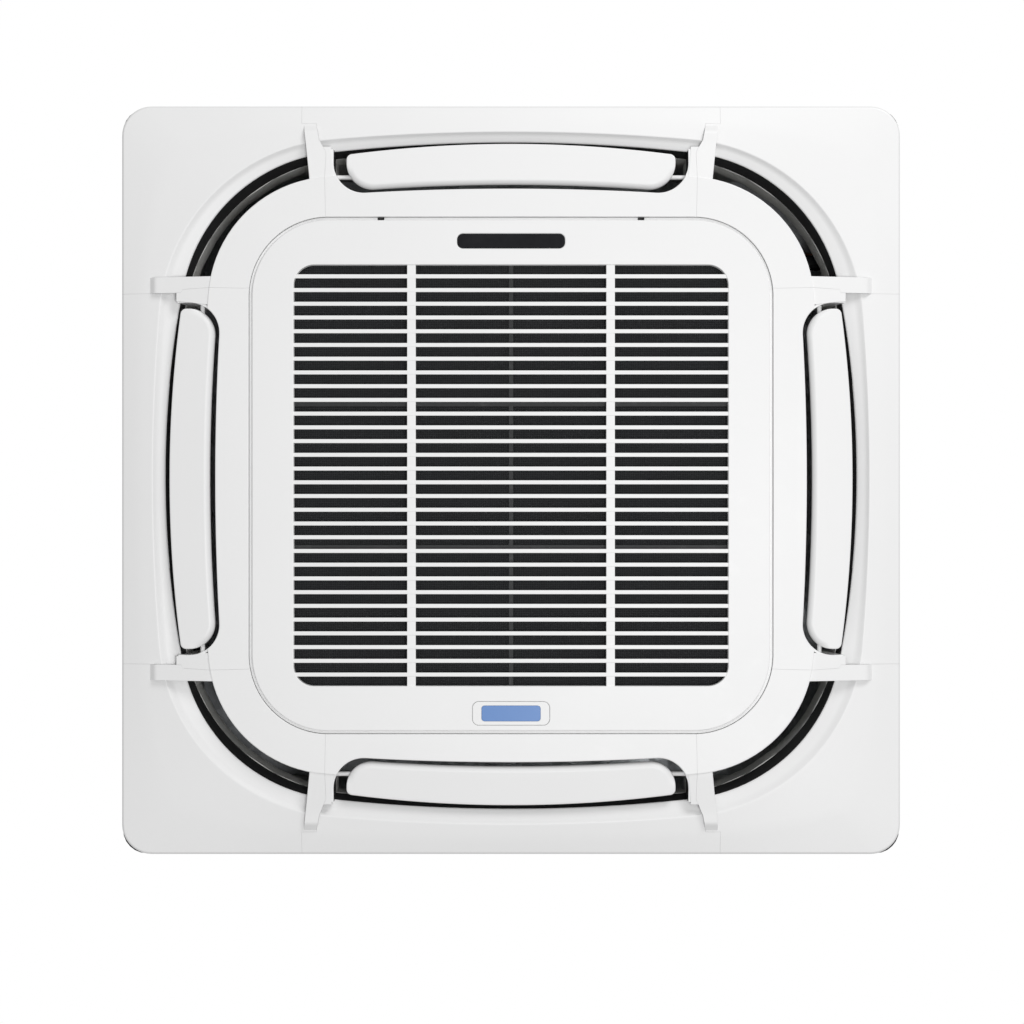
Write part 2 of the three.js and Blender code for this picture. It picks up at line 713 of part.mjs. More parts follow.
function sideBar(side) {
  const { bar } = side;
  return barSolid(side, [
    [bar.seamGroove + 20, side.lipAt + GROOVE_STEEP], [bar.seamRing + 20, side.ringAt - SKIN * 2],
    [bar.innerRing, side.ringAt - SKIN * 2], [bar.inner, side.lipAt], [bar.inner, side.lipAt + GROOVE_STEEP],
  ]);
}

// ---------------------------------------------------------------- panel shells
function frameShell() {
  const edge = loop(PANEL);
  const crest = loop(FRAME_EDGE);
  const lip = loop(DUCT_LIP);
  const steep = between(crest, lip, GROOVE_STEEP / (GROOVE_X + GROOVE_STEEP));
  const round = loop(grown(PANEL, -2));
  const inEdge = loop(grown(PANEL, -SKIN));
  const steepBack = between(loop(grown(FRAME_EDGE, SKIN)), loop(grown(DUCT_LIP, SKIN)), 0.3);
  return band([
    [edge, BACK],
    [edge, EDGE + 2.5],
    [round, EDGE],
    [between(round, crest, 0.5), (EDGE + CREST) / 2 - 0.8],
    [crest, CREST],
    [steep, GROOVE],
    [lip, LIP],
    [loop(DUCT_WALL), DUCT_TOP],
    [loop(grown(DUCT_WALL, SKIN)), DUCT_TOP],
    [loop(grown(DUCT_LIP, SKIN)), LIP + SKIN],
    [steepBack, GROOVE + SKIN],
    [loop(grown(FRAME_EDGE, 0.7)), CREST + SKIN + 0.6],
    [inEdge, EDGE + SKIN + 0.4],
    [inEdge, BACK],
  ]);
}

function ringPlate() {
  return band([
    [loop(RING_EDGE), RING_BACK],
    [loop(RING_EDGE), RING_FACE + 1],
    [loop(grown(RING_EDGE, -1)), RING_FACE],
    [loop(grown(RECESS, 0.8)), RING_FACE],
    [loop(RECESS), RING_FACE + 0.8],
    [loop(RECESS), RING_BACK],
  ]);
}

function hoop(inner, outer, z0, z1) {
  return band([[loop(outer), z0], [loop(inner), z0], [loop(inner), z1], [loop(outer), z1]]);
}

// The same between two straight-sided outlines, with fewer facets.
function squareHoop(inner, outer, z0, z1) {
  return cut(prism(roundedRect(outer.hx, outer.hy, outer.rc), z0, z1, 3),
    prism(roundedRect(inner.hx, inner.hy, inner.rc), z0 - 1, z1 + 1, 3));
}

// Everything inside the leaning duct wall.
function ductRoom() {
  const low = loop(grown(DUCT_LIP, SKIN / 2));
  return plug([[low, RING_FACE - 5], [low, LIP], [loop(grown(DUCT_WALL, SKIN / 2)), DUCT_TOP]]);
}

// Plan of one corner's region. A positive gap makes it smaller.
function cornerPlan(gap, corner) {
  const [ySide, xSide] = sidesOf(corner);
  const beyond = 20;
  const alongTop = seamLine(ySide, gap);
  const alongRight = seamLine(xSide, gap);
  return cornerShape(corner, [
    [alongTop[0][0], ySide.panelHalf + beyond],
    ...alongTop,
    [alongTop.at(-1)[0], alongRight.at(-1)[0]],
    ...[...alongRight].reverse().map(([u, v]) => [v, u]),
    [xSide.panelHalf + beyond, alongRight[0][0]],
    [xSide.panelHalf + beyond, ySide.panelHalf + beyond],
  ]);
}

function sidesOf(corner) {
  return [corner.y > 0 ? SIDES[0] : SIDES[2], SIDES[1]];
}

// A plan drawn in the quarter x > 0, y > 0, laid into a corner. Points beside the left and
// right slots follow their shift.
function cornerShape(corner, points) {
  return shapeOf(points.map(([x, y]) => {
    const beside = y < x && y < SLOT_HALF_X_SIDE + 40;
    return [corner.x * x, corner.y * y + (beside ? SIDE_SLOT_SHIFT : 0)];
  }));
}

function seamLine(side, gap) {
  const { bar } = side;
  const end = side.crestAt + side.block + SEAM;
  const jog = bar.edgeSeam === bar.seamBlock ? [] : [[bar.edgeSeam + gap, end - gap]];
  return [
    ...jog,
    [bar.seamBlock + gap, end - gap],
    [bar.seamFrame + gap, side.crestAt],
    [bar.seamLip + gap, side.lipAt],
    [bar.seamGroove + gap, side.lipAt - 3],
    [bar.seamRing + gap, side.ringAt + 4],
    [bar.seamRing - 1 + gap, side.slotEdge - RING_SIDE_Y],
  ];
}

const CORNERS = [
  { name: 'rear_right', x: 1, y: 1 },
  { name: 'rear_left', x: -1, y: 1 },
  { name: 'front_left', x: -1, y: -1 },
  { name: 'front_right', x: 1, y: -1 },
];

function cornerColumn(corner, gap) {
  return prism(cornerPlan(gap, corner), -80, 60);
}

function onEverySide(make) {
  return join(...SIDES.map((side) => turn(make(side), side.angle).translate([0, side.shift, 0])));
}

// The curved slot of a corner runs between the two bars of that corner.
function cornerSlotPlan(corner, shrink) {
  const [ySide, xSide] = sidesOf(corner);
  return cornerShape(corner, [
    [ySide.bar.blockOuter + shrink, ySide.panelHalf],
    [ySide.bar.blockOuter + shrink, ySide.crestAt + ySide.block],
    [ySide.bar.ringOuter + shrink, ySide.ringAt - 10],
    [ySide.bar.ringOuter + shrink, xSide.bar.ringOuter + shrink + 20],
    [ySide.bar.ringOuter + shrink + 20, xSide.bar.ringOuter + shrink],
    [xSide.ringAt - 10, xSide.bar.ringOuter + shrink],
    [xSide.crestAt + xSide.block, xSide.bar.blockOuter + shrink],
    [xSide.panelHalf, xSide.bar.blockOuter + shrink],
    [xSide.panelHalf, ySide.panelHalf],
  ]);
}

function shaftHole(side) {
  const radius = SHAFT_RADIUS + SHAFT_PLAY + 0.5;
  const v = side.louverInner + SHAFT_INSET;
  return rod(radius, 2 * side.slotHalf + 40, 'x', -side.slotHalf - 20, v, SHAFT_Z, 12);
}

function panelFrame(parent, shell, ring, room) {
  const collars = onEverySide((side) => {
    const outer = prism(slotShape(side, SKIN), RING_FACE, DUCT_TOP, 3);
    return outer.intersect(aboveFace(side));
  }).intersect(room);
  const slots = onEverySide((side) => prism(slotShape(side, 0), RING_FACE - 20, DUCT_TOP + 5, 3));
  const bars = onEverySide(sideBar);
  const ringWithSlots = cut(join(ring, collars, bars), slots);
  const corners = CORNERS.map((corner) => cornerColumn(corner, -SEAM / 2));
  const sides = cut(join(shell, ringWithSlots), ...corners);
  const wall = join(
    hoop(RECESS, grown(RECESS, SKIN), RING_BACK + SEAM, -RECESS_WALL_TOP),
    cut(hoop(RECESS, grown(RECESS, SKIN), RING_FACE + 1, RING_BACK + SEAM + 1), ...corners),
  );
  const body = join(sides, wall, ...CORNERS.map(cornerBase), ...CORNERS.map(ringBase));
  const holes = onEverySide(shaftHole);
  piece('panel_frame', cut(body, holes), whitePlastic, parent);
}

// Hidden plate and ribs that carry a corner cover and tie the sides of the frame together.
function cornerBase(corner) {
  const overlap = 11;
  const margin = SKIN + SEAM;
  const [ySide, xSide] = sidesOf(corner);
  const uy = ySide.bar.seamGroove - overlap;
  const ux = xSide.bar.edgeSeam - overlap + corner.y * SIDE_SLOT_SHIFT;
  const inner = grown(FRAME_EDGE, 5);
  const arcs = arcsOf(inner);
  const lift = corner.y * CREST_SHIFT;
  const bend = [57, 48, 39, 30].map((d) => pointAt(inner, arcs, THREE.MathUtils.degToRad(d)));
  const [right, top] = [PANEL.hx - margin, ySide.panelHalf - margin];
  const outline = [
    [inner.hx - 2, ux], [right, ux], [right, top - PANEL_CORNER], [right - PANEL_CORNER * 0.3, top - 10.8],
    [right - PANEL_CORNER, top], [uy, top], [uy, inner.hy - 2 + lift], ...bend.map((p) => [p.x, p.y + lift]),
  ];
  const plan = shapeOf(outline.map(([x, y]) => [corner.x * x, corner.y * y]));
  const [onY, onX] = [[ySide, uy], [xSide, ux]].map(([side, u]) => {
    const [v0, v1] = [side.crestAt + 14, side.panelHalf - margin + 1];
    const low = [v1, frameFaceAt(side, v1) + 1];
    return sweep([[v0, BACK - 1], [v0, frameFaceAt(side, v0) + 1], low, [v1, BACK - 1]], u, u + SKIN);
  });
  const set = join(onY, turn(onX.mirror([1, 0, 0]), -90));
  const across = corner.x < 0 ? set.mirror([1, 0, 0]) : set;
  return join(prism(plan, BACK - SKIN, BACK), corner.y < 0 ? across.mirror([0, 1, 0]) : across);
}

// Hidden plate above a corner cover's ring part.
function ringBase(corner) {
  const width = 24;
  const overlap = 14;
  const column = cornerColumn(corner, -overlap);
  const low = RING_BACK + SEAM;
  const outer = prism(roundedRect(RECESS.hx + width, RECESS.hy + width, RECESS.rc + width), low, low + SKIN, 3);
  const inner = roundedRect(RECESS.hx + SKIN * 0.8, RECESS.hy + SKIN * 0.8, RECESS.rc + SKIN * 0.8);
  const plate = cut(outer, prism(inner, low - 1, low + SKIN + 1, 3)).intersect(column);
  const foot = plate.translate([0, 0, -SEAM - 1]);
  return join(plate, cut(foot, cornerColumn(corner, -SEAM / 2 - 1)));
}

function cornerCovers(parent, shell, ring, room) {
  const ringWall = hoop(grown(RING_EDGE, -SKIN), RING_EDGE, RING_FACE + 1, DUCT_TOP);
  const bars = onEverySide(cornerBar);
  for (const corner of CORNERS) {
    const slotZone = prism(cornerSlotPlan(corner, -SKIN), RING_FACE - 20, DUCT_TOP + 5);
    const slotRoom = prism(cornerSlotPlan(corner, 0), RING_FACE - 20, DUCT_TOP + 5);
    const ringColumn = plug([[loop(grown(RING_EDGE, -SKIN / 2)), -80], [loop(grown(RING_EDGE, -SKIN / 2)), 40]]);
    const webs = cut(slotZone.intersect(room), slotRoom, ringColumn)
      .intersect(onEverySide((side) => aboveFace(side)));
    const body = join(shell, ring, bars, ringWall.intersect(slotZone), webs);
    const cover = body.intersect(cornerColumn(corner, SEAM / 2));
    piece(`corner_cover_${corner.name}`, cut(cover, onEverySide(shaftHole)), whitePlastic, parent);
  }
}

function ceilingSeal(parent) {
  const outer = { ...PANEL, hy: PANEL.hy - SEAL_SHIFT, rc: SEAL_CORNER };
  const inner = grown(outer, -SEAL_WIDTH);
  const seal = cut(
    prism(roundedRect(outer.hx, outer.hy, SEAL_CORNER), -SEAL_THICKNESS, 0, 3),
    prism(roundedRect(inner.hx, inner.hy, inner.rc), -SEAL_THICKNESS - 1, 1, 2),
  );
  piece('ceiling_seal', seal, foamBlack, parent).position.y = EDGE_SHIFT + SEAL_SHIFT;
}

// ---------------------------------------------------------------- louvers
function louver(side) {
  const inner = side.louverInner;
  const outer = side.louverOuter;
  const plan = prism(vaneShape({
    half: side.louverHalf,
    inner,
    innerBow: LOUVER_INNER_BOW,
    innerRound: LOUVER_CORNER_SHARE * (outer - inner),
    outer,
    outerBow: LOUVER_OUTER_BOW,
    outerRound: LOUVER_OUTER_CORNER,
  }), RING_FACE - 10, 0, 4);
  const sag = 40;
  const low = LOUVER_FACE;
  const high = LOUVER_FACE + LOUVER_TILT;
  const blade = plan.intersect(sweep([
    [inner - sag, low + LOUVER_LIP + 1],
    [inner + 0.3, low + LOUVER_LIP],
    [inner + 1.2, low + 2.2],
    [inner + 3, low + 0.6],
    [inner + LOUVER_LIP + 1, low],
    [outer, high],
    [outer, high + LOUVER_THICKNESS],
    [inner + LOUVER_LIP + 2, low + LOUVER_THICKNESS],
    [inner + LOUVER_THICKNESS + 1, low + LOUVER_LIP],
    [inner - sag, low + LOUVER_LIP + 3],
  ], -side.louverHalf - 1, side.louverHalf + 1));
  const v = inner + SHAFT_INSET;
  const root = side.louverHalf - 20;
  const ears = [1, -1].map((sign) => {
    const [u0, u1] = sign > 0 ? [root - EAR_LENGTH, root] : [-root, -root + EAR_LENGTH];
    const ear = box(u0, u1, v - EAR_WIDTH / 2, v + EAR_WIDTH / 2, low + 1.5, SHAFT_Z);
    const barrel = rod(EAR_WIDTH / 2, EAR_LENGTH, 'x', u0, v, SHAFT_Z, 12);
    const start = sign > 0 ? root - 4 : -shaftEnd(side, sign);
    const length = shaftEnd(side, sign) - root + 4;
    return join(ear, barrel, rod(SHAFT_RADIUS, length, 'x', start, v, SHAFT_Z, 12));
  });
  return join(blade, ...ears);
}

// The shaft runs through the slot's end wall into the motor (u > 0) or the clip (u < 0).
function shaftEnd(side, sign) {
  const wall = side.slotHalf + SKIN + SEAM;
  return sign > 0 ? wall + MOTOR_LENGTH / 2 : wall + CLIP_LENGTH;
}

function louvers(parent) {
  for (const side of SIDES) {
    const group = new THREE.Group();
    group.rotation.z = THREE.MathUtils.degToRad(side.angle);
    group.position.y = side.shift;
    parent.add(group);
    piece(`louver_${side.name}`, louver(side), whitePlastic, group);
    const v = side.louverInner + SHAFT_INSET;
    const start = side.slotHalf + SKIN + SEAM;
    const bore = SHAFT_RADIUS + SHAFT_PLAY;
    const can = rod(MOTOR_RADIUS, MOTOR_LENGTH, 'x', 0, 0, 0, 14);
    const ear = box(MOTOR_LENGTH - 1.5, MOTOR_LENGTH, -MOTOR_RADIUS - 4, MOTOR_RADIUS + 4, -3.5, 3.5);
    const hole = rod(bore, MOTOR_LENGTH / 2 + 1, 'x', -0.5, 0, 0, 12);
    const motor = piece(`louver_motor_${side.name}`, cut(join(can, ear), hole), galvanised, group);
    motor.position.set(start, v, SHAFT_Z);
    const block = box(-CLIP_LENGTH, 0, -CLIP_WIDTH / 2, CLIP_WIDTH / 2, -CLIP_HEIGHT / 2, CLIP_HEIGHT / 2);
    const eye = rod(bore, CLIP_LENGTH + 2, 'x', -CLIP_LENGTH - 1, 0, 0, 12);
    const clip = piece(`louver_clip_${side.name}`, cut(block, eye), greyPlastic, group);
    clip.position.set(-start, v, SHAFT_Z);
  }
}

// ---------------------------------------------------------------- intake grille
const HINGE_Y = -(GRILLE_HALF_Y - HINGE_INSET);
const HINGE_Z = GRILLE_FACE + HINGE_RISE;
const INTAKE_X = GRILLE_HALF_X - INTAKE_MARGIN_X;
const INTAKE_Y = GRILLE_HALF_Y - INTAKE_MARGIN_Y;
const GRILLE_BACK = GRILLE_FACE + GRILLE_SKIN;
const RIM_TOP = GRILLE_FACE + GRILLE_RIM;
const WALL_TOP = GRILLE_FACE + INTAKE_WALL;

function slats() {
  const low = GRILLE_FACE + SLAT_RECESS;
  const count = Math.floor((2 * INTAKE_Y - SLAT_THICKNESS) / SLAT_PITCH);
  const first = -((count - 1) * SLAT_PITCH) / 2;
  const reach = INTAKE_X + 1;
  const half = SLAT_THICKNESS / 2;
  const bars = [];
  for (let i = 0; i < count; i += 1) {
    const y = first + i * SLAT_PITCH;
    const section = [
      [y - half, low], [y + half, low], [y + half - 1, low + SLAT_DEPTH], [y - half + 1, low + SLAT_DEPTH],
    ];
    bars.push(sweep(section, -reach, reach));
  }
  for (const x of [-UPRIGHT_OFFSET, UPRIGHT_OFFSET]) {
    const halfWidth = UPRIGHT_WIDTH / 2;
    const [from, to] = [low + 0.4, low + SLAT_DEPTH - 0.4];
    bars.push(box(x - halfWidth, x + halfWidth, -INTAKE_Y - 1, INTAKE_Y + 1, from, to));
  }
  return join(...bars);
}

function intakeGrille() {
  const face = plug([
    [loop(grown(GRILLE, -1.2)), GRILLE_FACE],
    [loop(GRILLE), GRILLE_FACE + 1.2],
    [loop(GRILLE), GRILLE_BACK],
  ]);
  const rim = hoop(grown(GRILLE, -GRILLE_SKIN), GRILLE, GRILLE_BACK - 0.5, RIM_TOP);
  const outerWall = roundedRect(INTAKE_X + GRILLE_SKIN, INTAKE_Y + GRILLE_SKIN, INTAKE_CORNER + GRILLE_SKIN);
  const wall = prism(outerWall, GRILLE_BACK - 1, WALL_TOP, 3);
  const ledgeLow = GRILLE_FACE + GRILLE_LEDGE_RISE;
  const ledge = hoop(grown(GRILLE, -1), grown(GRILLE, GRILLE_LEDGE), ledgeLow, ledgeLow + GRILLE_LEDGE_THICKNESS);
  const opening = prism(roundedRect(INTAKE_X, INTAKE_Y, INTAKE_CORNER), GRILLE_FACE - 5, WALL_TOP + 5, 3);
  const corners = box(-INTAKE_X, INTAKE_X, -INTAKE_Y, INTAKE_Y, WALL_TOP - WALL_NOTCH, WALL_TOP + 5);
  const window = roundedRect(DISPLAY_LENGTH / 2, DISPLAY_WIDTH / 2, DISPLAY_CORNER, 0, -DISPLAY_OFFSET);
  const buttonHole = roundedRect(BUTTON_LENGTH / 2, BUTTON_WIDTH / 2, BUTTON_CORNER, 0, BUTTON_OFFSET);
  const plate = cut(join(face, rim, ledge, wall), opening, corners);
  const cheeks = [];
  const notches = [];
  for (const x of [-HINGE_OFFSET, HINGE_OFFSET]) {
    notches.push(hookNotch(x));
    cheeks.push(...hinge_cheeks(x));
  }
  const body = join(cut(plate, ...notches), slats(), springSeat(), ...cheeks);
  return cut(
    body,
    prism(window, GRILLE_FACE - 2, GRILLE_BACK + 2, 4),
    prism(buttonHole, GRILLE_FACE - 2, GRILLE_BACK + 2, 4),
    ...[-HINGE_OFFSET, HINGE_OFFSET].map((x) => pinBore(x)),
  );
}

// The rim and all but a skin of the face are open round the pin where the hook passes.
function hookNotch(x) {
  const half = HOOK_WIDTH / 2 + CHEEK_GAP;
  const reach = HOOK_THICKNESS / 2 + HOOK_PLAY;
  return box(x - half, x + half, -GRILLE_HALF_Y - GRILLE_LEDGE - 2, HINGE_Y + reach + 0.3, HINGE_Z - reach, RIM_TOP + 2);
}

function hinge_cheeks(x) {
  const from = HOOK_WIDTH / 2 + CHEEK_GAP;
  return [1, -1].map((sign) => {
    const [x0, x1] = [x + sign * from, x + sign * (from + CHEEK_THICKNESS)].sort((a, b) => a - b);
    const y0 = -GRILLE_HALF_Y + GRILLE_SKIN - 1;
    return box(x0, x1, y0, HINGE_Y + HINGE_INSET, GRILLE_BACK - 1, HINGE_Z + HINGE_INSET);
  });
}

function pinBore(x) {
  const length = HINGE_PIN_LENGTH + 2;
  return rod(HINGE_PIN_RADIUS + HINGE_PLAY, length, 'x', x - length / 2, HINGE_Y, HINGE_Z, 12);
}

function grille(parent) {
  const group = new THREE.Group();
  parent.add(group);
  piece('intake_grille', intakeGrille(), whitePlastic, group);
  for (const [name, x] of [['left', -HINGE_OFFSET], ['right', HINGE_OFFSET]]) {
    const pin = new THREE.CylinderGeometry(HINGE_PIN_RADIUS, HINGE_PIN_RADIUS, HINGE_PIN_LENGTH, 12);
    const mesh = piece(`hinge_pin_${name}`, pin, steel, group);
    mesh.rotation.z = Math.PI / 2;
    mesh.position.set(x, HINGE_Y, HINGE_Z);
  }
  display(group);
  latch(group);
  airFilter(group);
}

function hingeHooks(parent) {
  const armTop = RIM_TOP + HOOK_CLEARANCE + HOOK_THICKNESS;
  const wallY = -(GRILLE_HALF_Y + GRILLE_GAP) + TOUCH;
  const half = HOOK_THICKNESS / 2;
  for (const [name, x] of [['left', -HINGE_OFFSET], ['right', HINGE_OFFSET]]) {
    const arm = box(-HOOK_WIDTH / 2, HOOK_WIDTH / 2, HINGE_Y - half, HINGE_Y + half, HINGE_Z, armTop);
    const reach = box(-HOOK_WIDTH / 2, HOOK_WIDTH / 2, wallY, HINGE_Y + half, armTop - HOOK_THICKNESS, armTop);
    const eye = rod(half, HOOK_WIDTH, 'x', -HOOK_WIDTH / 2, HINGE_Y, HINGE_Z, 16);
    const bore = rod(HINGE_PIN_RADIUS + HINGE_PLAY, HOOK_WIDTH + 2, 'x', -HOOK_WIDTH / 2 - 1, HINGE_Y, HINGE_Z, 12);
    piece(`hinge_hook_${name}`, cut(join(arm, reach, eye), bore), greyPlastic, parent).position.x = x;
  }
}

function display(parent) {
  const play = TOUCH;
  const lens = prism(
    roundedRect(DISPLAY_LENGTH / 2 - play, DISPLAY_WIDTH / 2 - play, DISPLAY_CORNER - play),
    0, DISPLAY_LENS_THICKNESS, 4);
  const lensZ = GRILLE_FACE + 0.4;
  piece('display_lens', lens, blackPlastic, parent).position.set(0, -DISPLAY_OFFSET, lensZ);
  const board = new THREE.BoxGeometry(DISPLAY_LENGTH + 8, DISPLAY_WIDTH + 4, DISPLAY_BOARD_THICKNESS);
  const boardZ = GRILLE_BACK + TOUCH + DISPLAY_BOARD_THICKNESS / 2;
  piece('receiver_board', board, boardGreen, parent).position.set(0, -DISPLAY_OFFSET, boardZ);
}

// ---------------------------------------------------------------- latch
const BUTTON_FACE = GRILLE_FACE + 0.4;
const FLANGE_BASE = GRILLE_BACK + TOUCH;
const FLANGE_TOP = FLANGE_BASE + BUTTON_FLANGE_THICKNESS;
const STRIKER_TOP = FLANGE_TOP + STRIKER_HEIGHT;

function latch(parent) {
  const plate = prism(
    roundedRect(BUTTON_LENGTH / 2 - BUTTON_PLAY, BUTTON_WIDTH / 2 - BUTTON_PLAY, BUTTON_CORNER - BUTTON_PLAY),
    BUTTON_FACE, FLANGE_TOP, 4);
  const pocket = prism(
    roundedRect(BADGE_LENGTH / 2 + TOUCH, BADGE_WIDTH / 2 + TOUCH, BADGE_CORNER + TOUCH),
    BUTTON_FACE - 1, BUTTON_FACE + BADGE_THICKNESS, 4);
  const flange = prism(
    roundedRect(BUTTON_LENGTH / 2 + BUTTON_FLANGE, BUTTON_WIDTH / 2 + BUTTON_FLANGE, BUTTON_CORNER),
    FLANGE_BASE, FLANGE_TOP, 2);
  const half = STRIKER_THICKNESS / 2;
  const striker = sweep([
    [-half, FLANGE_TOP - 0.5], [half, FLANGE_TOP - 0.5], [half, STRIKER_TOP - half],
    [half / 2, STRIKER_TOP], [-half / 2, STRIKER_TOP], [-half, STRIKER_TOP - half],
  ], -STRIKER_WIDTH / 2, STRIKER_WIDTH / 2);
  const button = cut(join(plate, flange, striker), pocket);
  piece('latch_button', button, whitePlastic, parent).position.y = BUTTON_OFFSET;
  const badge = prism(
    roundedRect(BADGE_LENGTH / 2, BADGE_WIDTH / 2, BADGE_CORNER), 0, BADGE_THICKNESS - TOUCH, 4);
  piece('badge_plate', badge, bluePlastic, parent).position.set(0, BUTTON_OFFSET, BUTTON_FACE);
  piece('latch_spring', spring(), steel, parent).position.set(SPRING_OFFSET, BUTTON_OFFSET, FLANGE_TOP + TOUCH);
}

// A ledge from the grille's rim, over the spring.
function springSeat() {
  const reach = SPRING_RADIUS + SPRING_WIRE + 1.5;
  const z0 = FLANGE_TOP + SPRING_LENGTH + 2 * TOUCH;
  return box(SPRING_OFFSET - reach, SPRING_OFFSET + reach, BUTTON_OFFSET - reach, GRILLE_HALF_Y - 1,
    z0, z0 + SPRING_SEAT);
}

// A small compression spring, one unbroken wire.
function spring() {
  const climb = SPRING_LENGTH - 2 * SPRING_WIRE;
  class Helix extends THREE.Curve {
    getPoint(t) {
      const angle = t * SPRING_TURNS * Math.PI * 2;
      const z = SPRING_WIRE + climb * t;
      return new THREE.Vector3(SPRING_RADIUS * Math.cos(angle), SPRING_RADIUS * Math.sin(angle), z);
    }
  }
  const section = new THREE.Shape();
  section.absarc(0, 0, SPRING_WIRE, 0, Math.PI * 2);
  const options = { steps: SPRING_TURNS * 7, extrudePath: new Helix(), bevelEnabled: false, curveSegments: 3 };
  return solid(new THREE.ExtrudeGeometry(section, options));
}

// The fixed catch on the frame: two jaws that the button's striker stands between.
function latchCatch(parent) {
  const half = STRIKER_WIDTH / 2 + 4;
  const inner = STRIKER_THICKNESS / 2 + CATCH_PLAY;
  const roof = STRIKER_TOP + BUTTON_TRAVEL + 1;
  const wall = GRILLE_HALF_Y + GRILLE_GAP - TOUCH - BUTTON_OFFSET;
  const top = -RECESS_WALL_TOP;
  const low = STRIKER_TOP - 8;
  const body = join(
    box(-half, half, inner, inner + CATCH_JAW, low, top),
    box(-half, half, -inner - CATCH_JAW, -inner, low, top),
    box(-half, half, -inner - CATCH_JAW, inner + CATCH_JAW, roof, top),
    box(-half, half, inner, wall, top - 3, top),
  );
  piece('latch_catch', body, greyPlastic, parent).position.y = BUTTON_OFFSET;
}

// ---------------------------------------------------------------- air filter
function airFilter(parent) {
  const hx = INTAKE_X + FILTER_OVERLAP;
  const hy = INTAKE_Y + FILTER_OVERLAP;
  const z0 = WALL_TOP + TOUCH;
  const z1 = z0 + FILTER_THICKNESS;
  const middle = (z0 + z1) / 2;
  const windows = [];
  const ribHalf = 3;
  const cells = [[-hx + FILTER_BORDER, -ribHalf], [ribHalf, hx - FILTER_BORDER]];
  const rows = 3;
  const span = (2 * (hy - FILTER_BORDER) - (rows - 1) * 2 * ribHalf) / rows;
  for (const [x0, x1] of cells) {
    for (let r = 0; r < rows; r += 1) {
      const y0 = -hy + FILTER_BORDER + r * (span + 2 * ribHalf);
      windows.push(box(x0, x1, y0, y0 + span, z0 - 1, middle - FILTER_NET_THICKNESS / 2 - TOUCH));
    }
  }
  const inner = [hx - FILTER_BORDER / 2, hy - FILTER_BORDER / 2];
  const bed = box(-inner[0], inner[0], -inner[1], inner[1], middle - FILTER_NET_THICKNESS / 2 - TOUCH, z1 + 1);
  const frame = cut(box(-hx, hx, -hy, hy, z0, z1), bed, ...windows);
  piece('filter_frame', frame, darkPlastic, parent);
  const net = new THREE.BoxGeometry(2 * (inner[0] - TOUCH), 2 * (inner[1] - TOUCH), FILTER_NET_THICKNESS);
  piece('filter_net', net, netGrey, parent).position.z = middle;
}

// ---------------------------------------------------------------- casing
const CASING_X = PANEL.hx - CASING_MARGIN_X;
const CASING_Y = PANEL.hy - CASING_MARGIN_Y;
const SHELL_TOP = CASING_HEIGHT - SHEET - TOUCH;

function octagon(inset) {
  const [x, y] = [CASING_X - inset, CASING_Y - inset];
  const c = CASING_CHAMFER - inset * (2 - Math.SQRT2);
  return shapeOf([
    [x, y - c], [x - c, y], [c - x, y], [-x, y - c], [-x, c - y], [c - x, -y], [x - c, -y], [x, c - y],
  ]);
}

function octagonHoop(outerInset, innerInset, z0, z1) {
  return cut(prism(octagon(outerInset), z0, z1), prism(octagon(innerInset), z0 - 1, z1 + 1));
}

const PORTS = {
  gas: { y: PIPE_Y, z: GAS_PIPE_Z, r: GAS_PIPE_RADIUS + 2 },
  liquid: { y: PIPE_Y - PIPE_SPACING, z: GAS_PIPE_Z + PIPE_SPACING, r: LIQUID_PIPE_RADIUS + 2 },
  drain: { y: -(SLOT_EDGE_Y - COIL_INSET - 44), z: DRAIN_Z, r: DRAIN_RADIUS + 0.5 },
};

function portHoles() {
  return Object.values(PORTS).map(({ y, z, r }) => rod(r, 60, 'x', CASING_X - 40, y, z, 16));
}

function casing(parent) {
  const wall = octagonHoop(0, SHEET, CASING_FOOT, SHELL_TOP);
  const flange = octagonHoop(0, CASING_FLANGE, SHELL_TOP - SHEET, SHELL_TOP);
  const gland = rod(10.5, 60, 'x', -CASING_X - 20, GLAND_Y, GLAND_Z, 16);
  piece('casing_shell', cut(join(wall, flange), gland, ...portHoles()), galvanised, parent);
  const liner = octagonHoop(SHEET + TOUCH, SHEET + TOUCH + LINER_THICKNESS, PAN_TOP + TOUCH, SHELL_TOP - SHEET - TOUCH);
  piece('foam_liner', cut(liner, gland, ...portHoles()), foamWhite, parent);
  topPlate(parent);
}

function topPlate(parent) {
  const z0 = CASING_HEIGHT - SHEET;
  const r = EMBOSS_RADIUS;
  const lift = EMBOSS_HEIGHT;
  const plate = cut(prism(octagon(-SHEET - TOUCH), z0, CASING_HEIGHT), rod(r, 10, 'z', 0, 0, z0 - 5, 24));
  const rim = octagonHoop(-SHEET - TOUCH, -TOUCH, CASING_HEIGHT - TOP_RIM, CASING_HEIGHT);
  const emboss = turned([
    [0, z0 + lift], [r - 8, z0 + lift], [r - 2, z0], [r + 1, z0], [r + 1, z0 + SHEET], [r - 1, z0 + SHEET],
    [r - 7, z0 + lift + SHEET], [0, z0 + lift + SHEET],
  ]);
  piece('top_plate', join(plate, rim, emboss), galvanised, parent);
}

// ---------------------------------------------------------------- drain pan
const PAN_TOP = PAN_BASE + PAN_HEIGHT;
const COIL_OUT = { hx: SLOT_EDGE_X - COIL_INSET, hy: SLOT_EDGE_Y - COIL_INSET,
  bowX: STRAIGHT, bowY: STRAIGHT, rc: COIL_CORNER };
const COIL_IN = grown(COIL_OUT, -COIL_THICKNESS);
const GLAND_Y = 230;
const GLAND_Z = 190;

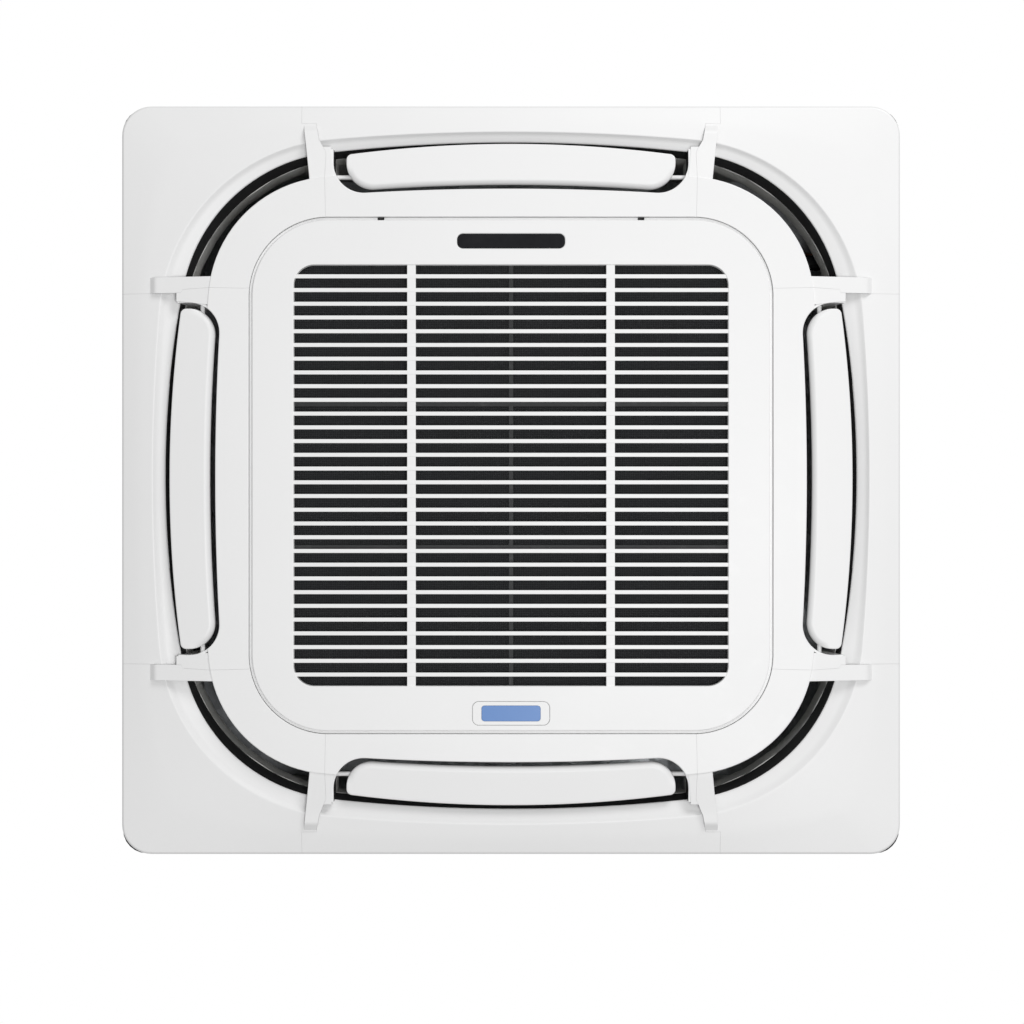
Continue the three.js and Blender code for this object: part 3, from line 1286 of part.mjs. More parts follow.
function drainPan(parent) {
  const gap = SHEET + TOUCH;
  const block = prism(octagon(gap), PAN_BASE, PAN_TOP);
  const opening = prism(roundedRect(PAN_OPENING_X, PAN_OPENING_Y, PAN_OPENING_CORNER), PAN_BASE - 1,
    PAN_BASE + PAN_LEDGE_HEIGHT);
  const above = prism(
    roundedRect(PAN_OPENING_X - PAN_LEDGE, PAN_OPENING_Y - PAN_LEDGE, PAN_OPENING_CORNER - PAN_LEDGE),
    PAN_BASE - 1, PAN_TOP + 1);
  const trough = squareHoop(grown(COIL_IN, -TROUGH_PLAY), grown(COIL_OUT, TROUGH_PLAY),
    PAN_TOP - TROUGH_DEPTH, PAN_TOP + 5);
  const wallSlots = plug([[loop(DUCT_WALL), PAN_BASE - 1], [loop(DUCT_WALL), PAN_TOP + 1]]);
  const sideSlots = onEverySide((side) => prism(slotShape(side, 0), PAN_BASE - 2, PAN_TOP + 2, 3));
  const outside = plug([[loop(RING_EDGE), PAN_BASE - 2], [loop(RING_EDGE), PAN_TOP + 2]]);
  const cornerSlots = CORNERS.map((corner) => {
    const zone = prism(cornerSlotPlan(corner, 0), PAN_BASE - 2, PAN_TOP + 2);
    return cut(zone.intersect(wallSlots), outside);
  });
  const sump = rod(SUMP_RADIUS, TROUGH_DEPTH + 5, 'z', SUMP_X, SUMP_Y, SUMP_FLOOR, 20);
  const pan = cut(block, opening, above, trough, sump, sideSlots.intersect(wallSlots), ...cornerSlots);
  piece('drain_pan', pan, foamWhite, parent);
}

// ---------------------------------------------------------------- heat exchanger and pipes
const COIL_BASE = PAN_TOP - TROUGH_DEPTH + TOUCH;
const COIL_TOP = SHELL_TOP - SHEET - COIL_TOP_GAP;

function heatExchanger(parent) {
  const corner = box(COIL_OUT.hx - COIL_END_CUT, COIL_OUT.hx + 50, -COIL_OUT.hy - 50, -COIL_OUT.hy + COIL_END_CUT,
    COIL_BASE - 10, COIL_TOP + 10);
  const coil = cut(squareHoop(COIL_IN, COIL_OUT, COIL_BASE, COIL_TOP), corner);
  piece('heat_exchanger', coil, finAluminium, parent);
  const plate = box(COIL_IN.hx - 4, COIL_OUT.hx + 4, 0, SHEET, COIL_BASE, COIL_TOP);
  const mesh = piece('coil_end_plate', plate, galvanised, parent);
  mesh.position.y = -COIL_OUT.hy + COIL_END_CUT - SHEET - TOUCH;
  pipes(parent);
}

function pipes(parent) {
  const x = (COIL_IN.hx + COIL_OUT.hx) / 2;
  const start = -COIL_OUT.hy + COIL_END_CUT - SHEET - 2 * TOUCH;
  const end = CASING_X + PIPE_REACH;
  for (const [name, port, radius] of [
    ['gas', PORTS.gas, GAS_PIPE_RADIUS], ['liquid', PORTS.liquid, LIQUID_PIPE_RADIUS],
  ]) {
    const path = new THREE.CurvePath();
    const corners = [[x, start], [x, port.y], [end, port.y]].map(([px, py]) => new THREE.Vector3(px, py, port.z));
    addBends(path, corners, radius * 2.4);
    const section = new THREE.Shape();
    section.absarc(0, 0, radius, 0, Math.PI * 2);
    const options = { steps: 16, extrudePath: path, bevelEnabled: false, curveSegments: 5 };
    piece(`${name}_pipe`, solid(new THREE.ExtrudeGeometry(section, options)), copper, parent);
    const nut = cut(
      rod(radius + 5, FLARE_NUT_LENGTH, 'x', 0, 0, 0, 6),
      rod(radius + TOUCH, FLARE_NUT_LENGTH + 2, 'x', -1, 0, 0, 16),
    );
    const mesh = piece(`${name}_flare_nut`, nut, brassMetal, parent);
    mesh.position.set(end - FLARE_NUT_LENGTH - 3, port.y, port.z);
  }
}

function addBends(path, corners, bend) {
  let from = corners[0];
  for (let i = 1; i + 1 < corners.length; i += 1) {
    const before = corners[i].clone().add(corners[i - 1].clone().sub(corners[i]).setLength(bend));
    const after = corners[i].clone().add(corners[i + 1].clone().sub(corners[i]).setLength(bend));
    path.add(new THREE.LineCurve3(from, before));
    path.add(new THREE.QuadraticBezierCurve3(before, corners[i], after));
    from = after;
  }
  path.add(new THREE.LineCurve3(from, corners.at(-1)));
}

// ---------------------------------------------------------------- fan
const FAN_RADIUS = COIL_IN.hy - FAN_CLEARANCE;
const FAN_TOP = FAN_BASE_Z + FAN_HEIGHT;
const HUB_Z = FAN_TOP - FAN_HUB_DROP;

function fanImpeller() {
  const t = FAN_PLATE;
  const shroud = turned([
    [FAN_INLET_RADIUS, FAN_BASE_Z], [FAN_INLET_RADIUS + t, FAN_BASE_Z], [FAN_INLET_RADIUS + 6 + t, FAN_BASE_Z + 12],
    [FAN_RADIUS, FAN_BASE_Z + 34], [FAN_RADIUS, FAN_BASE_Z + 34 + t], [FAN_INLET_RADIUS + 6, FAN_BASE_Z + 12 + t],
    [FAN_INLET_RADIUS, FAN_BASE_Z + 8], [FAN_INLET_RADIUS, FAN_BASE_Z],
  ]);
  const bore = SHAFT_FAN_RADIUS + FAN_BORE_PLAY;
  const hub = turned([
    [bore, HUB_Z - 14], [20, HUB_Z - 14], [24, HUB_Z], [FAN_HUB_RADIUS - 22, HUB_Z + 6], [FAN_HUB_RADIUS, FAN_TOP - 20],
    [FAN_HUB_RADIUS + 18, FAN_TOP - t], [FAN_RADIUS, FAN_TOP - t], [FAN_RADIUS, FAN_TOP], [FAN_HUB_RADIUS + 16, FAN_TOP],
    [FAN_HUB_RADIUS - 3, FAN_TOP - 18], [FAN_HUB_RADIUS - 25, HUB_Z + 6 + t], [bore, HUB_Z + t], [bore, HUB_Z - 14],
  ]);
  const zone = turned([
    [FAN_INLET_RADIUS - 24, FAN_TOP - t + 1], [FAN_INLET_RADIUS - 24, FAN_BASE_Z + 40],
    [FAN_INLET_RADIUS, FAN_BASE_Z + 7], [FAN_INLET_RADIUS + 6, FAN_BASE_Z + 13],
    [FAN_RADIUS - 1, FAN_BASE_Z + 36], [FAN_RADIUS - 1, FAN_TOP - t + 1], [FAN_INLET_RADIUS - 24, FAN_TOP - t + 1],
  ], 28);
  const blades = [];
  const sweepBack = 105; // radius of a blade's backward curve
  for (let i = 0; i < BLADE_COUNT; i += 1) {
    const blade = new THREE.Shape();
    blade.absarc(0, 0, sweepBack + BLADE_THICKNESS / 2, -0.62, 0.55, false);
    blade.absarc(0, 0, sweepBack - BLADE_THICKNESS / 2, 0.55, -0.62, true);
    const options = { depth: FAN_HEIGHT, bevelEnabled: false, curveSegments: 3 };
    const geometry = new THREE.ExtrudeGeometry(blade, options);
    geometry.rotateZ(THREE.MathUtils.degToRad(52));
    geometry.translate(FAN_INLET_RADIUS - 38, -sweepBack + 20, FAN_BASE_Z);
    geometry.rotateZ((i / BLADE_COUNT) * Math.PI * 2);
    blades.push(solid(geometry).intersect(zone));
  }
  return join(shroud, hub, ...blades);
}

function fan(parent) {
  piece('fan_impeller', fanImpeller(), greyPlastic, parent);
  const nutZ = HUB_Z - 14 - TOUCH;
  const nut = cut(rod(11, 8, 'z', 0, 0, 0, 6), rod(SHAFT_FAN_RADIUS + FAN_BORE_PLAY, 12, 'z', 0, 0, -2, 16));
  piece('fan_nut', nut, steel, parent).position.z = nutZ - 8;
}

function fanMotor(parent) {
  const top = SHELL_TOP - 14;
  const low = top - MOTOR_BODY_HEIGHT;
  const r = MOTOR_BODY_RADIUS;
  const shaftEndZ = HUB_Z - 26;
  const body = turned([
    [0, shaftEndZ], [SHAFT_FAN_RADIUS, shaftEndZ], [SHAFT_FAN_RADIUS, low - 6], [22, low - 6], [24, low],
    [r - 6, low], [r, low + 6], [r, top - 6], [r - 6, top], [0, top],
  ]);
  piece('fan_motor', body, galvanised, parent);
  const ceiling = CASING_HEIGHT - SHEET + EMBOSS_HEIGHT;
  const plate = new THREE.Shape();
  plate.absarc(0, 0, r + 14, 0, Math.PI * 2);
  const bracket = join(
    prism(plate, top + TOUCH, top + TOUCH + 3, 8),
    ...[0, 90, 180, 270].map((a) => turn(rod(9, ceiling - top - 2 * TOUCH, 'z', r, 0, top + TOUCH, 12), a)),
  );
  piece('motor_bracket', bracket, darkPlastic, parent);
}

function bellMouth(parent) {
  const z = PAN_BASE + PAN_LEDGE_HEIGHT - TOUCH;
  const t = 2.5;
  const flange = cut(
    prism(roundedRect(PAN_OPENING_X - SEAM, PAN_OPENING_Y - SEAM, PAN_OPENING_CORNER - SEAM), z - t, z),
    rod(BELL_INLET_RADIUS, 30, 'z', 0, 0, z - 15, 24),
  );
  const top = z - t + BELL_HEIGHT;
  const r = BELL_INLET_RADIUS;
  const throat = BELL_THROAT_RADIUS;
  const cone = turned([
    [r + 1, z - t], [r + 1, z], [throat + 10 + t, z + BELL_HEIGHT * 0.3], [throat + t, z + BELL_HEIGHT * 0.6],
    [throat + t, top], [throat, top], [throat, z + BELL_HEIGHT * 0.55], [throat + 10, z + BELL_HEIGHT * 0.25],
    [r - 3, z - t], [r + 1, z - t],
  ]);
  piece('bell_mouth', join(flange, cone), greyPlastic, parent);
}

// ---------------------------------------------------------------- control box
function controlBox(parent) {
  const group = new THREE.Group();
  const x0 = -PAN_OPENING_X + 3;
  const z1 = PAN_BASE + PAN_LEDGE_HEIGHT - TOUCH * 2 - 2.5;
  const z0 = z1 - BOX_HEIGHT;
  group.position.set(x0 + BOX_WIDTH / 2, 0, z0);
  parent.add(group);
  const [w, l, h, t] = [BOX_WIDTH / 2, BOX_LENGTH / 2, BOX_HEIGHT, BOX_WALL];
  const tray = cut(box(-w, w, -l, l, 0, h), box(-w + t, w - t, -l + t, l - t, -1, h - t));
  piece('control_box', tray, galvanised, group);
  const lid = join(box(-w, w, -l, l, -TOUCH - 1, -TOUCH), box(-w - TOUCH - 1, -w - TOUCH, -l, l, -TOUCH - 1, 6));
  const lidBody = join(lid, box(-w - TOUCH - 1, -w + 1, -l, l, -TOUCH - 1, -TOUCH));
  piece('control_box_lid', lidBody, galvanised, group);
  const board = new THREE.BoxGeometry(2 * w - 8, l * 1.1, 1.6);
  piece('control_board', board, boardGreen, group).position.set(0, -l * 0.35, h - t - 8);
  const block = join(
    box(-14, 14, -30, 30, 0, 10),
    ...[-24, -8, 8, 24].map((y) => box(-15, 15, y - 1.5, y + 1.5, 0, 16)),
  );
  piece('terminal_block', block, blackPlastic, group).position.set(0, l * 0.62, h - t - TOUCH - 16);
}

// ---------------------------------------------------------------- drain pump and float switch
// The pump stands in a round sump at the coil's open corner, the float in the trough beside it.
const SUMP_X = COIL_OUT.hx - 45;
const SUMP_Y = -(COIL_OUT.hy - 44);
const SUMP_FLOOR = PAN_TOP - TROUGH_DEPTH;
const FLOAT_X = COIL_OUT.hx - COIL_END_CUT + 26;
const FLOAT_Y = -(COIL_IN.hy + COIL_THICKNESS / 2);

function drainParts(parent) {
  const base = SUMP_FLOOR + TOUCH;
  const outlet = DRAIN_Z - base;
  const tail = PUMP_RADIUS + 22;
  const feet = [0, 120, 240].map((a) => turn(rod(2.5, 12, 'z', PUMP_RADIUS - 6, 0, 0, 8), a));
  const pump = join(
    rod(PUMP_RADIUS, PUMP_HEIGHT, 'z', 0, 0, 10, 20), rod(12, 12, 'z', 0, 0, 2, 16),
    rod(HOSE_BORE, tail, 'x', 0, 0, outlet, 12), ...feet,
  );
  const offset = PORTS.drain.y - SUMP_Y;
  piece('drain_pump', pump, whitePlastic, parent).position.set(SUMP_X, PORTS.drain.y - offset, base);
  const stem = 3;
  const guard = join(
    rod(stem, 44, 'z', 0, 0, 1, 12), rod(8, 3, 'z', 0, 0, 0, 12), rod(10, 12, 'z', 0, 0, 40, 16),
  );
  piece('float_switch', guard, blackPlastic, parent).position.set(FLOAT_X, FLOAT_Y, base);
  const ball = cut(rod(12, 18, 'z', 0, 0, 0, 20), rod(stem + 0.6, 20, 'z', 0, 0, -1, 12));
  piece('switch_float', ball, whitePlastic, parent).position.set(FLOAT_X, FLOAT_Y, base + 3 + TOUCH);
  const hoseStart = SUMP_X + PUMP_RADIUS + 6;
  const hoseEnd = CASING_X - 14;
  const hose = cut(
    rod(HOSE_BORE + 2.5, hoseEnd - hoseStart, 'x', 0, 0, 0, 16),
    rod(HOSE_BORE + TOUCH, hoseEnd - hoseStart + 2, 'x', -1, 0, 0, 16),
  );
  piece('drain_hose', hose, blackPlastic, parent).position.set(hoseStart, SUMP_Y, DRAIN_Z);
  const spigot = 16;
  const socket = cut(
    join(
      rod(DRAIN_RADIUS, SOCKET_LENGTH, 'x', 0, 0, 0, 20), rod(DRAIN_RADIUS + 6, 3, 'x', 12, 0, 0, 20),
      rod(HOSE_BORE, spigot + 1, 'x', -spigot, 0, 0, 12),
    ),
    rod(DRAIN_RADIUS - 2.5, SOCKET_LENGTH, 'x', 4, 0, 0, 16), rod(HOSE_BORE - 2.5, 30, 'x', -20, 0, 0, 12),
  );
  const mesh = piece('drain_socket', socket, whitePlastic, parent);
  mesh.position.set(CASING_X - 12 + TOUCH, SUMP_Y, DRAIN_Z);
}

function cableGland(parent) {
  const body = cut(
    join(rod(10, 34, 'x', -20, 0, 0, 16), rod(15, 6, 'x', -6 - TOUCH, 0, 0, 6), rod(13, 8, 'x', -20, 0, 0, 12)),
    rod(6, 40, 'x', -24, 0, 0, 12),
  );
  piece('cable_gland', body, blackPlastic, parent).position.set(-CASING_X, GLAND_Y, GLAND_Z);
}

// ---------------------------------------------------------------- hanger brackets
// The middle of each cut corner carries an angle bracket with an open slot for a threaded rod.
function hangerBrackets(parent) {
  const [w, t, reach] = [HANGER_WIDTH / 2, HANGER_SHEET, HANGER_REACH];
  const slot = new THREE.Shape();
  const slotY = reach * 0.55;
  slot.moveTo(-HANGER_SLOT_RADIUS, reach + 5);
  slot.lineTo(-HANGER_SLOT_RADIUS, slotY);
  slot.absarc(0, slotY, HANGER_SLOT_RADIUS, Math.PI, Math.PI * 2, false);
  slot.lineTo(HANGER_SLOT_RADIUS, reach + 5);
  const angle = join(box(-w, w, 0, t, -HANGER_DROP, 0), box(-w, w, 0, reach, -t, 0));
  const gusset = [-1, 1].map((s) => {
    const [u0, u1] = s > 0 ? [w - t, w] : [-w, -w + t];
    return sweep([[t - 1, -t + 1], [reach - 4, -t + 1], [t - 1, -HANGER_DROP + 4]], u0, u1);
  });
  for (const corner of CORNERS) {
    const body = cut(join(angle, ...gusset), prism(slot, -t - 5, 5, 6));
    const mesh = piece(`hanger_bracket_${corner.name}`, body, galvanised, parent);
    const face = CASING_CHAMFER / 2;
    const out = TOUCH / Math.SQRT2;
    mesh.position.set(corner.x * (CASING_X - face + out), corner.y * (CASING_Y - face + out), HANGER_HEIGHT);
    mesh.rotation.z = Math.atan2(corner.y, corner.x) - Math.PI / 2;
  }
}

// ---------------------------------------------------------------- assembly
function assembly() {
  const unit = new THREE.Group();
  unit.name = 'ceiling_cassette';
  const panel = new THREE.Group();
  const body = new THREE.Group();
  panel.position.y = -EDGE_SHIFT;
  body.position.y = -EDGE_SHIFT;
  unit.add(panel, body);
  const shell = frameShell();
  const ring = ringPlate();
  const room = ductRoom();
  panelFrame(panel, shell, ring, room);
  cornerCovers(panel, shell, ring, room);
  ceilingSeal(panel);
  louvers(panel);
  grille(panel);
  hingeHooks(panel);
  latchCatch(panel);
  casing(body);
  drainPan(body);
  heatExchanger(body);
  bellMouth(body);
  fan(body);
  fanMotor(body);
  controlBox(body);
  drainParts(body);
  cableGland(body);
  hangerBrackets(body);
  return unit;
}

export default assembly();
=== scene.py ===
"""Dresses the ceiling cassette air conditioner: smooth mouldings, louvers, grille and metalwork."""
import json
import math

import bmesh
import bpy
import numpy as np
from mathutils import Matrix, Vector

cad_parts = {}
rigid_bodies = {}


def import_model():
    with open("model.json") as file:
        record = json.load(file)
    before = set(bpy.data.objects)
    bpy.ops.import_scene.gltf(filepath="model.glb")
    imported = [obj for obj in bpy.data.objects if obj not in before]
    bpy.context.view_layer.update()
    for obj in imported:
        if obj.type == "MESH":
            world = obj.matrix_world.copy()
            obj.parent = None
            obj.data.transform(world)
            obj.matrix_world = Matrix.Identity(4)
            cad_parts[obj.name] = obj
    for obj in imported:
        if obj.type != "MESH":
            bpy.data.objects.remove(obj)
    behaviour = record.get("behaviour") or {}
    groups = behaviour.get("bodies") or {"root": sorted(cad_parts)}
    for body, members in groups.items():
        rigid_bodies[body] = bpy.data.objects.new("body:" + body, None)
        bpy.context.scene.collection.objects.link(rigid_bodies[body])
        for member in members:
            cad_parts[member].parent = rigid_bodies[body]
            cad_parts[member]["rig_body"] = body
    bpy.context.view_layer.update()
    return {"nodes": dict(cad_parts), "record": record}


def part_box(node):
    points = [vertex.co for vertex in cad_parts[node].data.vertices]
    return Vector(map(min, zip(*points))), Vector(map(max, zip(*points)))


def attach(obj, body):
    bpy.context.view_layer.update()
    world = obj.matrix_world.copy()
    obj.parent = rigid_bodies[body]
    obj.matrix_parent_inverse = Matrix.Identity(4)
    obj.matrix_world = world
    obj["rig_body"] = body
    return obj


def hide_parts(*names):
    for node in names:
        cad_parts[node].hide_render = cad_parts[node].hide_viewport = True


bl_info = {
    "name": "Ceiling Cassette Dresser",
    "version": (1, 0, 0),
    "blender": (4, 5, 0),
    "location": "View3D > Sidebar > Cassette",
    "description": "Builds the visible mouldings and finishes of a ceiling cassette air conditioner",
    "category": "Object",
}

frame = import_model()
MM = 0.001

# ---------------------------------------------------------------- sizes, in millimetres
PANEL_LOW, PANEL_HIGH = (Vector(corner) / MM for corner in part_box("panel_frame"))
PANEL_HALF_X = (PANEL_HIGH.x - PANEL_LOW.x) / 2
PANEL_HALF_Y = (PANEL_HIGH.y - PANEL_LOW.y) / 2
PANEL_CORNER = 36
EDGE_SHIFT = 5.5  # the outer edge against the ring, towards the latch side
CREST_SHIFT = 2.6
SIDE_SLOT_SHIFT = 4
SKIN = 2.8
SEAM = 0.4
TOUCH = 0.3
STRAIGHT = 1e7  # bow radius that reads as a straight side
SIDE_BOW = 2700

FRAME_SIDE_X, FRAME_SIDE_Y, FRAME_CORNER = 38.5, 35, 227
FRAME_BOW_X, FRAME_BOW_Y = SIDE_BOW - 220, SIDE_BOW - 155
GROOVE_X, GROOVE_Y = 14, 14.8
GROOVE_STEEP = 5.5
LIP_CORNER, LIP_BOW_X, LIP_BOW_Y = 204, 1190, 2010
WALL_LEAN_X, WALL_LEAN_Y, WALL_CORNER = 13.4, 8.4, 212
RING_CORNER_X, RING_CORNER_Y, RING_CORNER = 33.2, 27, 152.6
SLOT_SIDE_X, SLOT_SIDE_Y = 64, 59.1
RING_SIDE_X, RING_SIDE_Y = 40.6, 34.1
SLOT_HALF_X_SIDE, SLOT_HALF_Y_SIDE = 213.9, 215.4
SLOT_CORNER, SLOT_BOW, SLOT_FLARE = 37, 3135, 1.3
GRILLE_GAP = 4.2
GRILLE_CORNER = 92

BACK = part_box("ceiling_seal")[0].z / MM - TOUCH
EDGE_HEIGHT, FRAME_PITCH, GROOVE_RISE = 8.5, 7.4, 3.6
EDGE = BACK - EDGE_HEIGHT
CREST = EDGE - FRAME_PITCH
GROOVE = CREST + GROOVE_RISE
LIP = GROOVE + GROOVE_RISE
DUCT_TOP = PANEL_HIGH.z
RING_FACE = PANEL_LOW.z
RING_BACK = RING_FACE + SKIN
RECESS_TOP = -8
PAINTED_SHADE_REACH, PAINTED_SHADE_RISE = 0.6, 1.2  # painted shade on the duct's inner walls, from just past its lip
LOWEST, HIGHEST = RING_FACE - 45, DUCT_TOP + 50  # cutters reach from below the panel to above it

BAR_Y_SIDE = {"edge_seam": 255.1, "block_outer": 252.1, "ring_outer": 243.3, "seam_block": 237.2,
              "seam_frame": 233.3, "seam_lip": 225.3, "seam_groove": 224.6, "seam_ring": 225.8,
              "inner": 218.1, "inner_ring": 213.6}
BAR_X_SIDE = {"edge_seam": 225.5, "block_outer": 244.7, "ring_outer": 245.6, "seam_block": 225.5,
              "seam_frame": 225.7, "seam_lip": 225.8, "seam_groove": 229.9, "seam_ring": 231.8,
              "inner": 215.2, "inner_ring": 209.7}
BLOCK_LENGTH_X, BLOCK_LENGTH_Y = 15.5, 20.6
BLOCK_STAND = 5
BAR_DROP = 1.5

LOUVER_END_GAP_X, LOUVER_END_GAP_Y = 7.2, 15.6
LOUVER_INNER_GAP_X, LOUVER_INNER_GAP_Y = 7, 5.5
LOUVER_OUTER_GAP_X, LOUVER_OUTER_GAP_Y = 7.5, 6.1
LOUVER_OUTER_GAP_FRONT = 3.7
LOUVER_INNER_BOW, LOUVER_OUTER_BOW = 2350, 1500
LOUVER_CORNER_SHARE = 0.64
LOUVER_OUTER_CORNER = 7
LOUVER_CURL, LOUVER_CURL_WIDTH = 4.2, 8
LOUVER_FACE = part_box("louver_rear")[0].z / MM
LOUVER_EDGE = 1.3  # roundness of the rim
LOUVER_INSETS = (8, 6.9, 5.8, 4.6, 3.4, 2.2, LOUVER_EDGE)  # rows of the blade, inwards from its rim
SHAFT_INSET, SHAFT_RISE = 10, 12.5
SHAFT_Z = LOUVER_FACE + SHAFT_RISE
SHAFT_RADIUS, SHAFT_ROOM = 2.75, 0.75
EAR_LENGTH, EAR_WIDTH = 16, 9
MOTOR_LENGTH, CLIP_LENGTH = 16, 6

GRILLE_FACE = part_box("intake_grille")[0].z / MM
GRILLE_SKIN = 3
GRILLE_BACK = GRILLE_FACE + GRILLE_SKIN
GRILLE_RIM, INTAKE_WALL = 20, 15
RIM_TOP = GRILLE_FACE + GRILLE_RIM
WALL_TOP = GRILLE_FACE + INTAKE_WALL
INTAKE_MARGIN_X, INTAKE_MARGIN_Y = 50.3, 54
INTAKE_CORNER = 25
SLAT_RECESS = 0.8
UPRIGHT_OFFSET, UPRIGHT_WIDTH = 120.7, 10.4
HINGE_OFFSET, HINGE_INSET, HINGE_RISE = 157.7, 5, 2.7
HINGE_PIN_RADIUS, HINGE_PIN_LENGTH, HINGE_PLAY = 1, 24, 0.2
HOOK_WIDTH, HOOK_THICKNESS, HOOK_PLAY = 6, 3.6, 0.3
CHEEK_THICKNESS, CHEEK_GAP = 3, 1
GRILLE_LEDGE, LEDGE_RISE, LEDGE_THICKNESS = 3.6, 4.8, 1.8
WALL_NOTCH = 2.3
DISPLAY_LENGTH, DISPLAY_WIDTH, DISPLAY_CORNER, DISPLAY_OFFSET = 130.5, 17.8, 7, 283.9
BUTTON_LENGTH, BUTTON_WIDTH, BUTTON_CORNER, BUTTON_OFFSET = 94.2, 29.3, 8, 288.3
BUTTON_PLAY, BUTTON_RECESS, BUTTON_ROUND = 0.4, 0.4, 0.9
FLANGE_REACH, FLANGE_THICKNESS = 2.4, 1.2
FLANGE_TOP = GRILLE_BACK + TOUCH + FLANGE_THICKNESS
STRIKER_WIDTH, STRIKER_THICKNESS = 14, 4
SPRING_OFFSET, SPRING_LENGTH, SPRING_ROOM, SPRING_SEAT = 30, 7, 5, 2.5
BADGE_ROUND = 0.5
BADGE_LENGTH, BADGE_WIDTH, BADGE_CORNER, BADGE_THICKNESS = 71.4, 18.9, 3.7, 1.2

ROUND_STEPS = 5
LONGEST_ROUND = 0.46  # share of an edge that a rounding may take
SIDE_STATIONS, CORNER_STATIONS = 34, 13

# ---------------------------------------------------------------- the stage, in metres
CAMERA_PLACE, CAMERA_LENS, CAMERA_SENSOR = (0.0012, 0.0388, -2.963), 85, 36
KEY_LIGHT_PLACE, KEY_LIGHT_SIZE = (1.2, -2.2, -1.9), 1.4
FRONT_LIGHT_PLACE, FRONT_LIGHT_SIZE = (0.45, 0.3, -3.0), 0.7
FLOOR_HALF, FLOOR_TOP, FLOOR_THICKNESS = 9, -3.3, 0.02

# ---------------------------------------------------------------- patterns and colours
FIN_PITCH, NET_PITCH = 0.0028, 0.0022  # in metres
# near-black painted shade for the duct's inner walls, where the deep duct is in shade
DUCT_PAINTED_SHADE = (0.012, 0.012, 0.013)


# ---------------------------------------------------------------- bowed outlines
class Outline:
    """Half sizes, sides bowed at two radii and corners that run smoothly into them."""

    def __init__(self, half_x, half_y, corner, bow_x=STRAIGHT, bow_y=STRAIGHT, shift=0.0, square=False):
        self.half_x, self.half_y, self.corner = half_x, half_y, corner
        self.bow_x, self.bow_y, self.shift, self.square = bow_x, bow_y, shift, square

    def grown(self, by):
        return Outline(self.half_x + by, self.half_y + by, self.corner + by,
                       self.bow_x + by, self.bow_y + by, self.shift, self.square)

    def arcs(self):
        right = np.array([self.half_x - self.bow_x, 0.0])
        top = np.array([0.0, self.half_y - self.bow_y])
        reach_right, reach_top = self.bow_x - self.corner, self.bow_y - self.corner
        apart = np.linalg.norm(right - top)
        along = (reach_right ** 2 - reach_top ** 2 + apart ** 2) / (2 * apart)
        aside = math.sqrt(reach_right ** 2 - along ** 2)
        unit = (top - right) / apart
        centre = right + unit * along + np.array([-unit[1], unit[0]]) * aside
        on_right = right + (centre - right) / np.linalg.norm(centre - right) * self.bow_x
        on_top = top + (centre - top) / np.linalg.norm(centre - top) * self.bow_y
        return right, top, centre, on_right, on_top

    def reach_at(self, along_y, u):
        """How far out the outline reaches at a distance u along a side."""
        right, top, centre, on_right, on_top = self.arcs()
        if along_y:
            if u <= on_top[0]:
                return top[1] + math.sqrt(self.bow_y ** 2 - u ** 2)
            return centre[1] + math.sqrt(self.corner ** 2 - (u - centre[0]) ** 2)
        if u <= on_right[1]:
            return right[0] + math.sqrt(self.bow_x ** 2 - u ** 2)
        return centre[0] + math.sqrt(self.corner ** 2 - (u - centre[1]) ** 2)

    def quarter(self):
        if self.square:
            turn = np.linspace(0, math.pi / 2, len(STATIONS) - 4)
            arc = np.stack([self.half_x - self.corner + self.corner * np.cos(turn),
                            self.half_y - self.corner + self.corner * np.sin(turn)], axis=1)
            start = [[self.half_x, 0], [self.half_x, (self.half_y - self.corner) / 2]]
            end = [[(self.half_x - self.corner) / 2, self.half_y], [0, self.half_y]]
            return np.concatenate([start, arc, end])
        right, top, centre, on_right, on_top = self.arcs()
        first, last = math.atan2(on_right[1], on_right[0]), math.atan2(on_top[1], on_top[0])
        points = []
        for angle in STATIONS:
            ray = np.array([math.cos(angle), math.sin(angle)])
            middle, radius = (right, self.bow_x) if angle <= first else (
                (top, self.bow_y) if angle >= last else (centre, self.corner))
            along = ray @ middle
            points.append(ray * (along + math.sqrt(radius ** 2 - middle @ middle + along ** 2)))
        return np.array(points)

    def loop(self):
        quarter = self.quarter()
        runs = []
        for sign_x, sign_y, forward in ((1, 1, True), (-1, 1, False), (-1, -1, True), (1, -1, False)):
            run = quarter * (sign_x, sign_y) + (0, self.shift)
            runs.append((run if forward else run[::-1])[:-1])
        return np.concatenate(runs)


PANEL = Outline(PANEL_HALF_X, PANEL_HALF_Y, PANEL_CORNER, shift=EDGE_SHIFT)


def station_angles():
    """The directions from the middle at which every outline of the panel has a point."""
    _, _, _, on_right, on_top = PANEL.arcs()
    first, last = math.atan2(on_right[1], on_right[0]), math.atan2(on_top[1], on_top[0])
    return np.concatenate([np.linspace(0, first, SIDE_STATIONS)[:-1],
                           np.linspace(first, last, CORNER_STATIONS),
                           np.linspace(last, math.pi / 2, SIDE_STATIONS)[1:]])


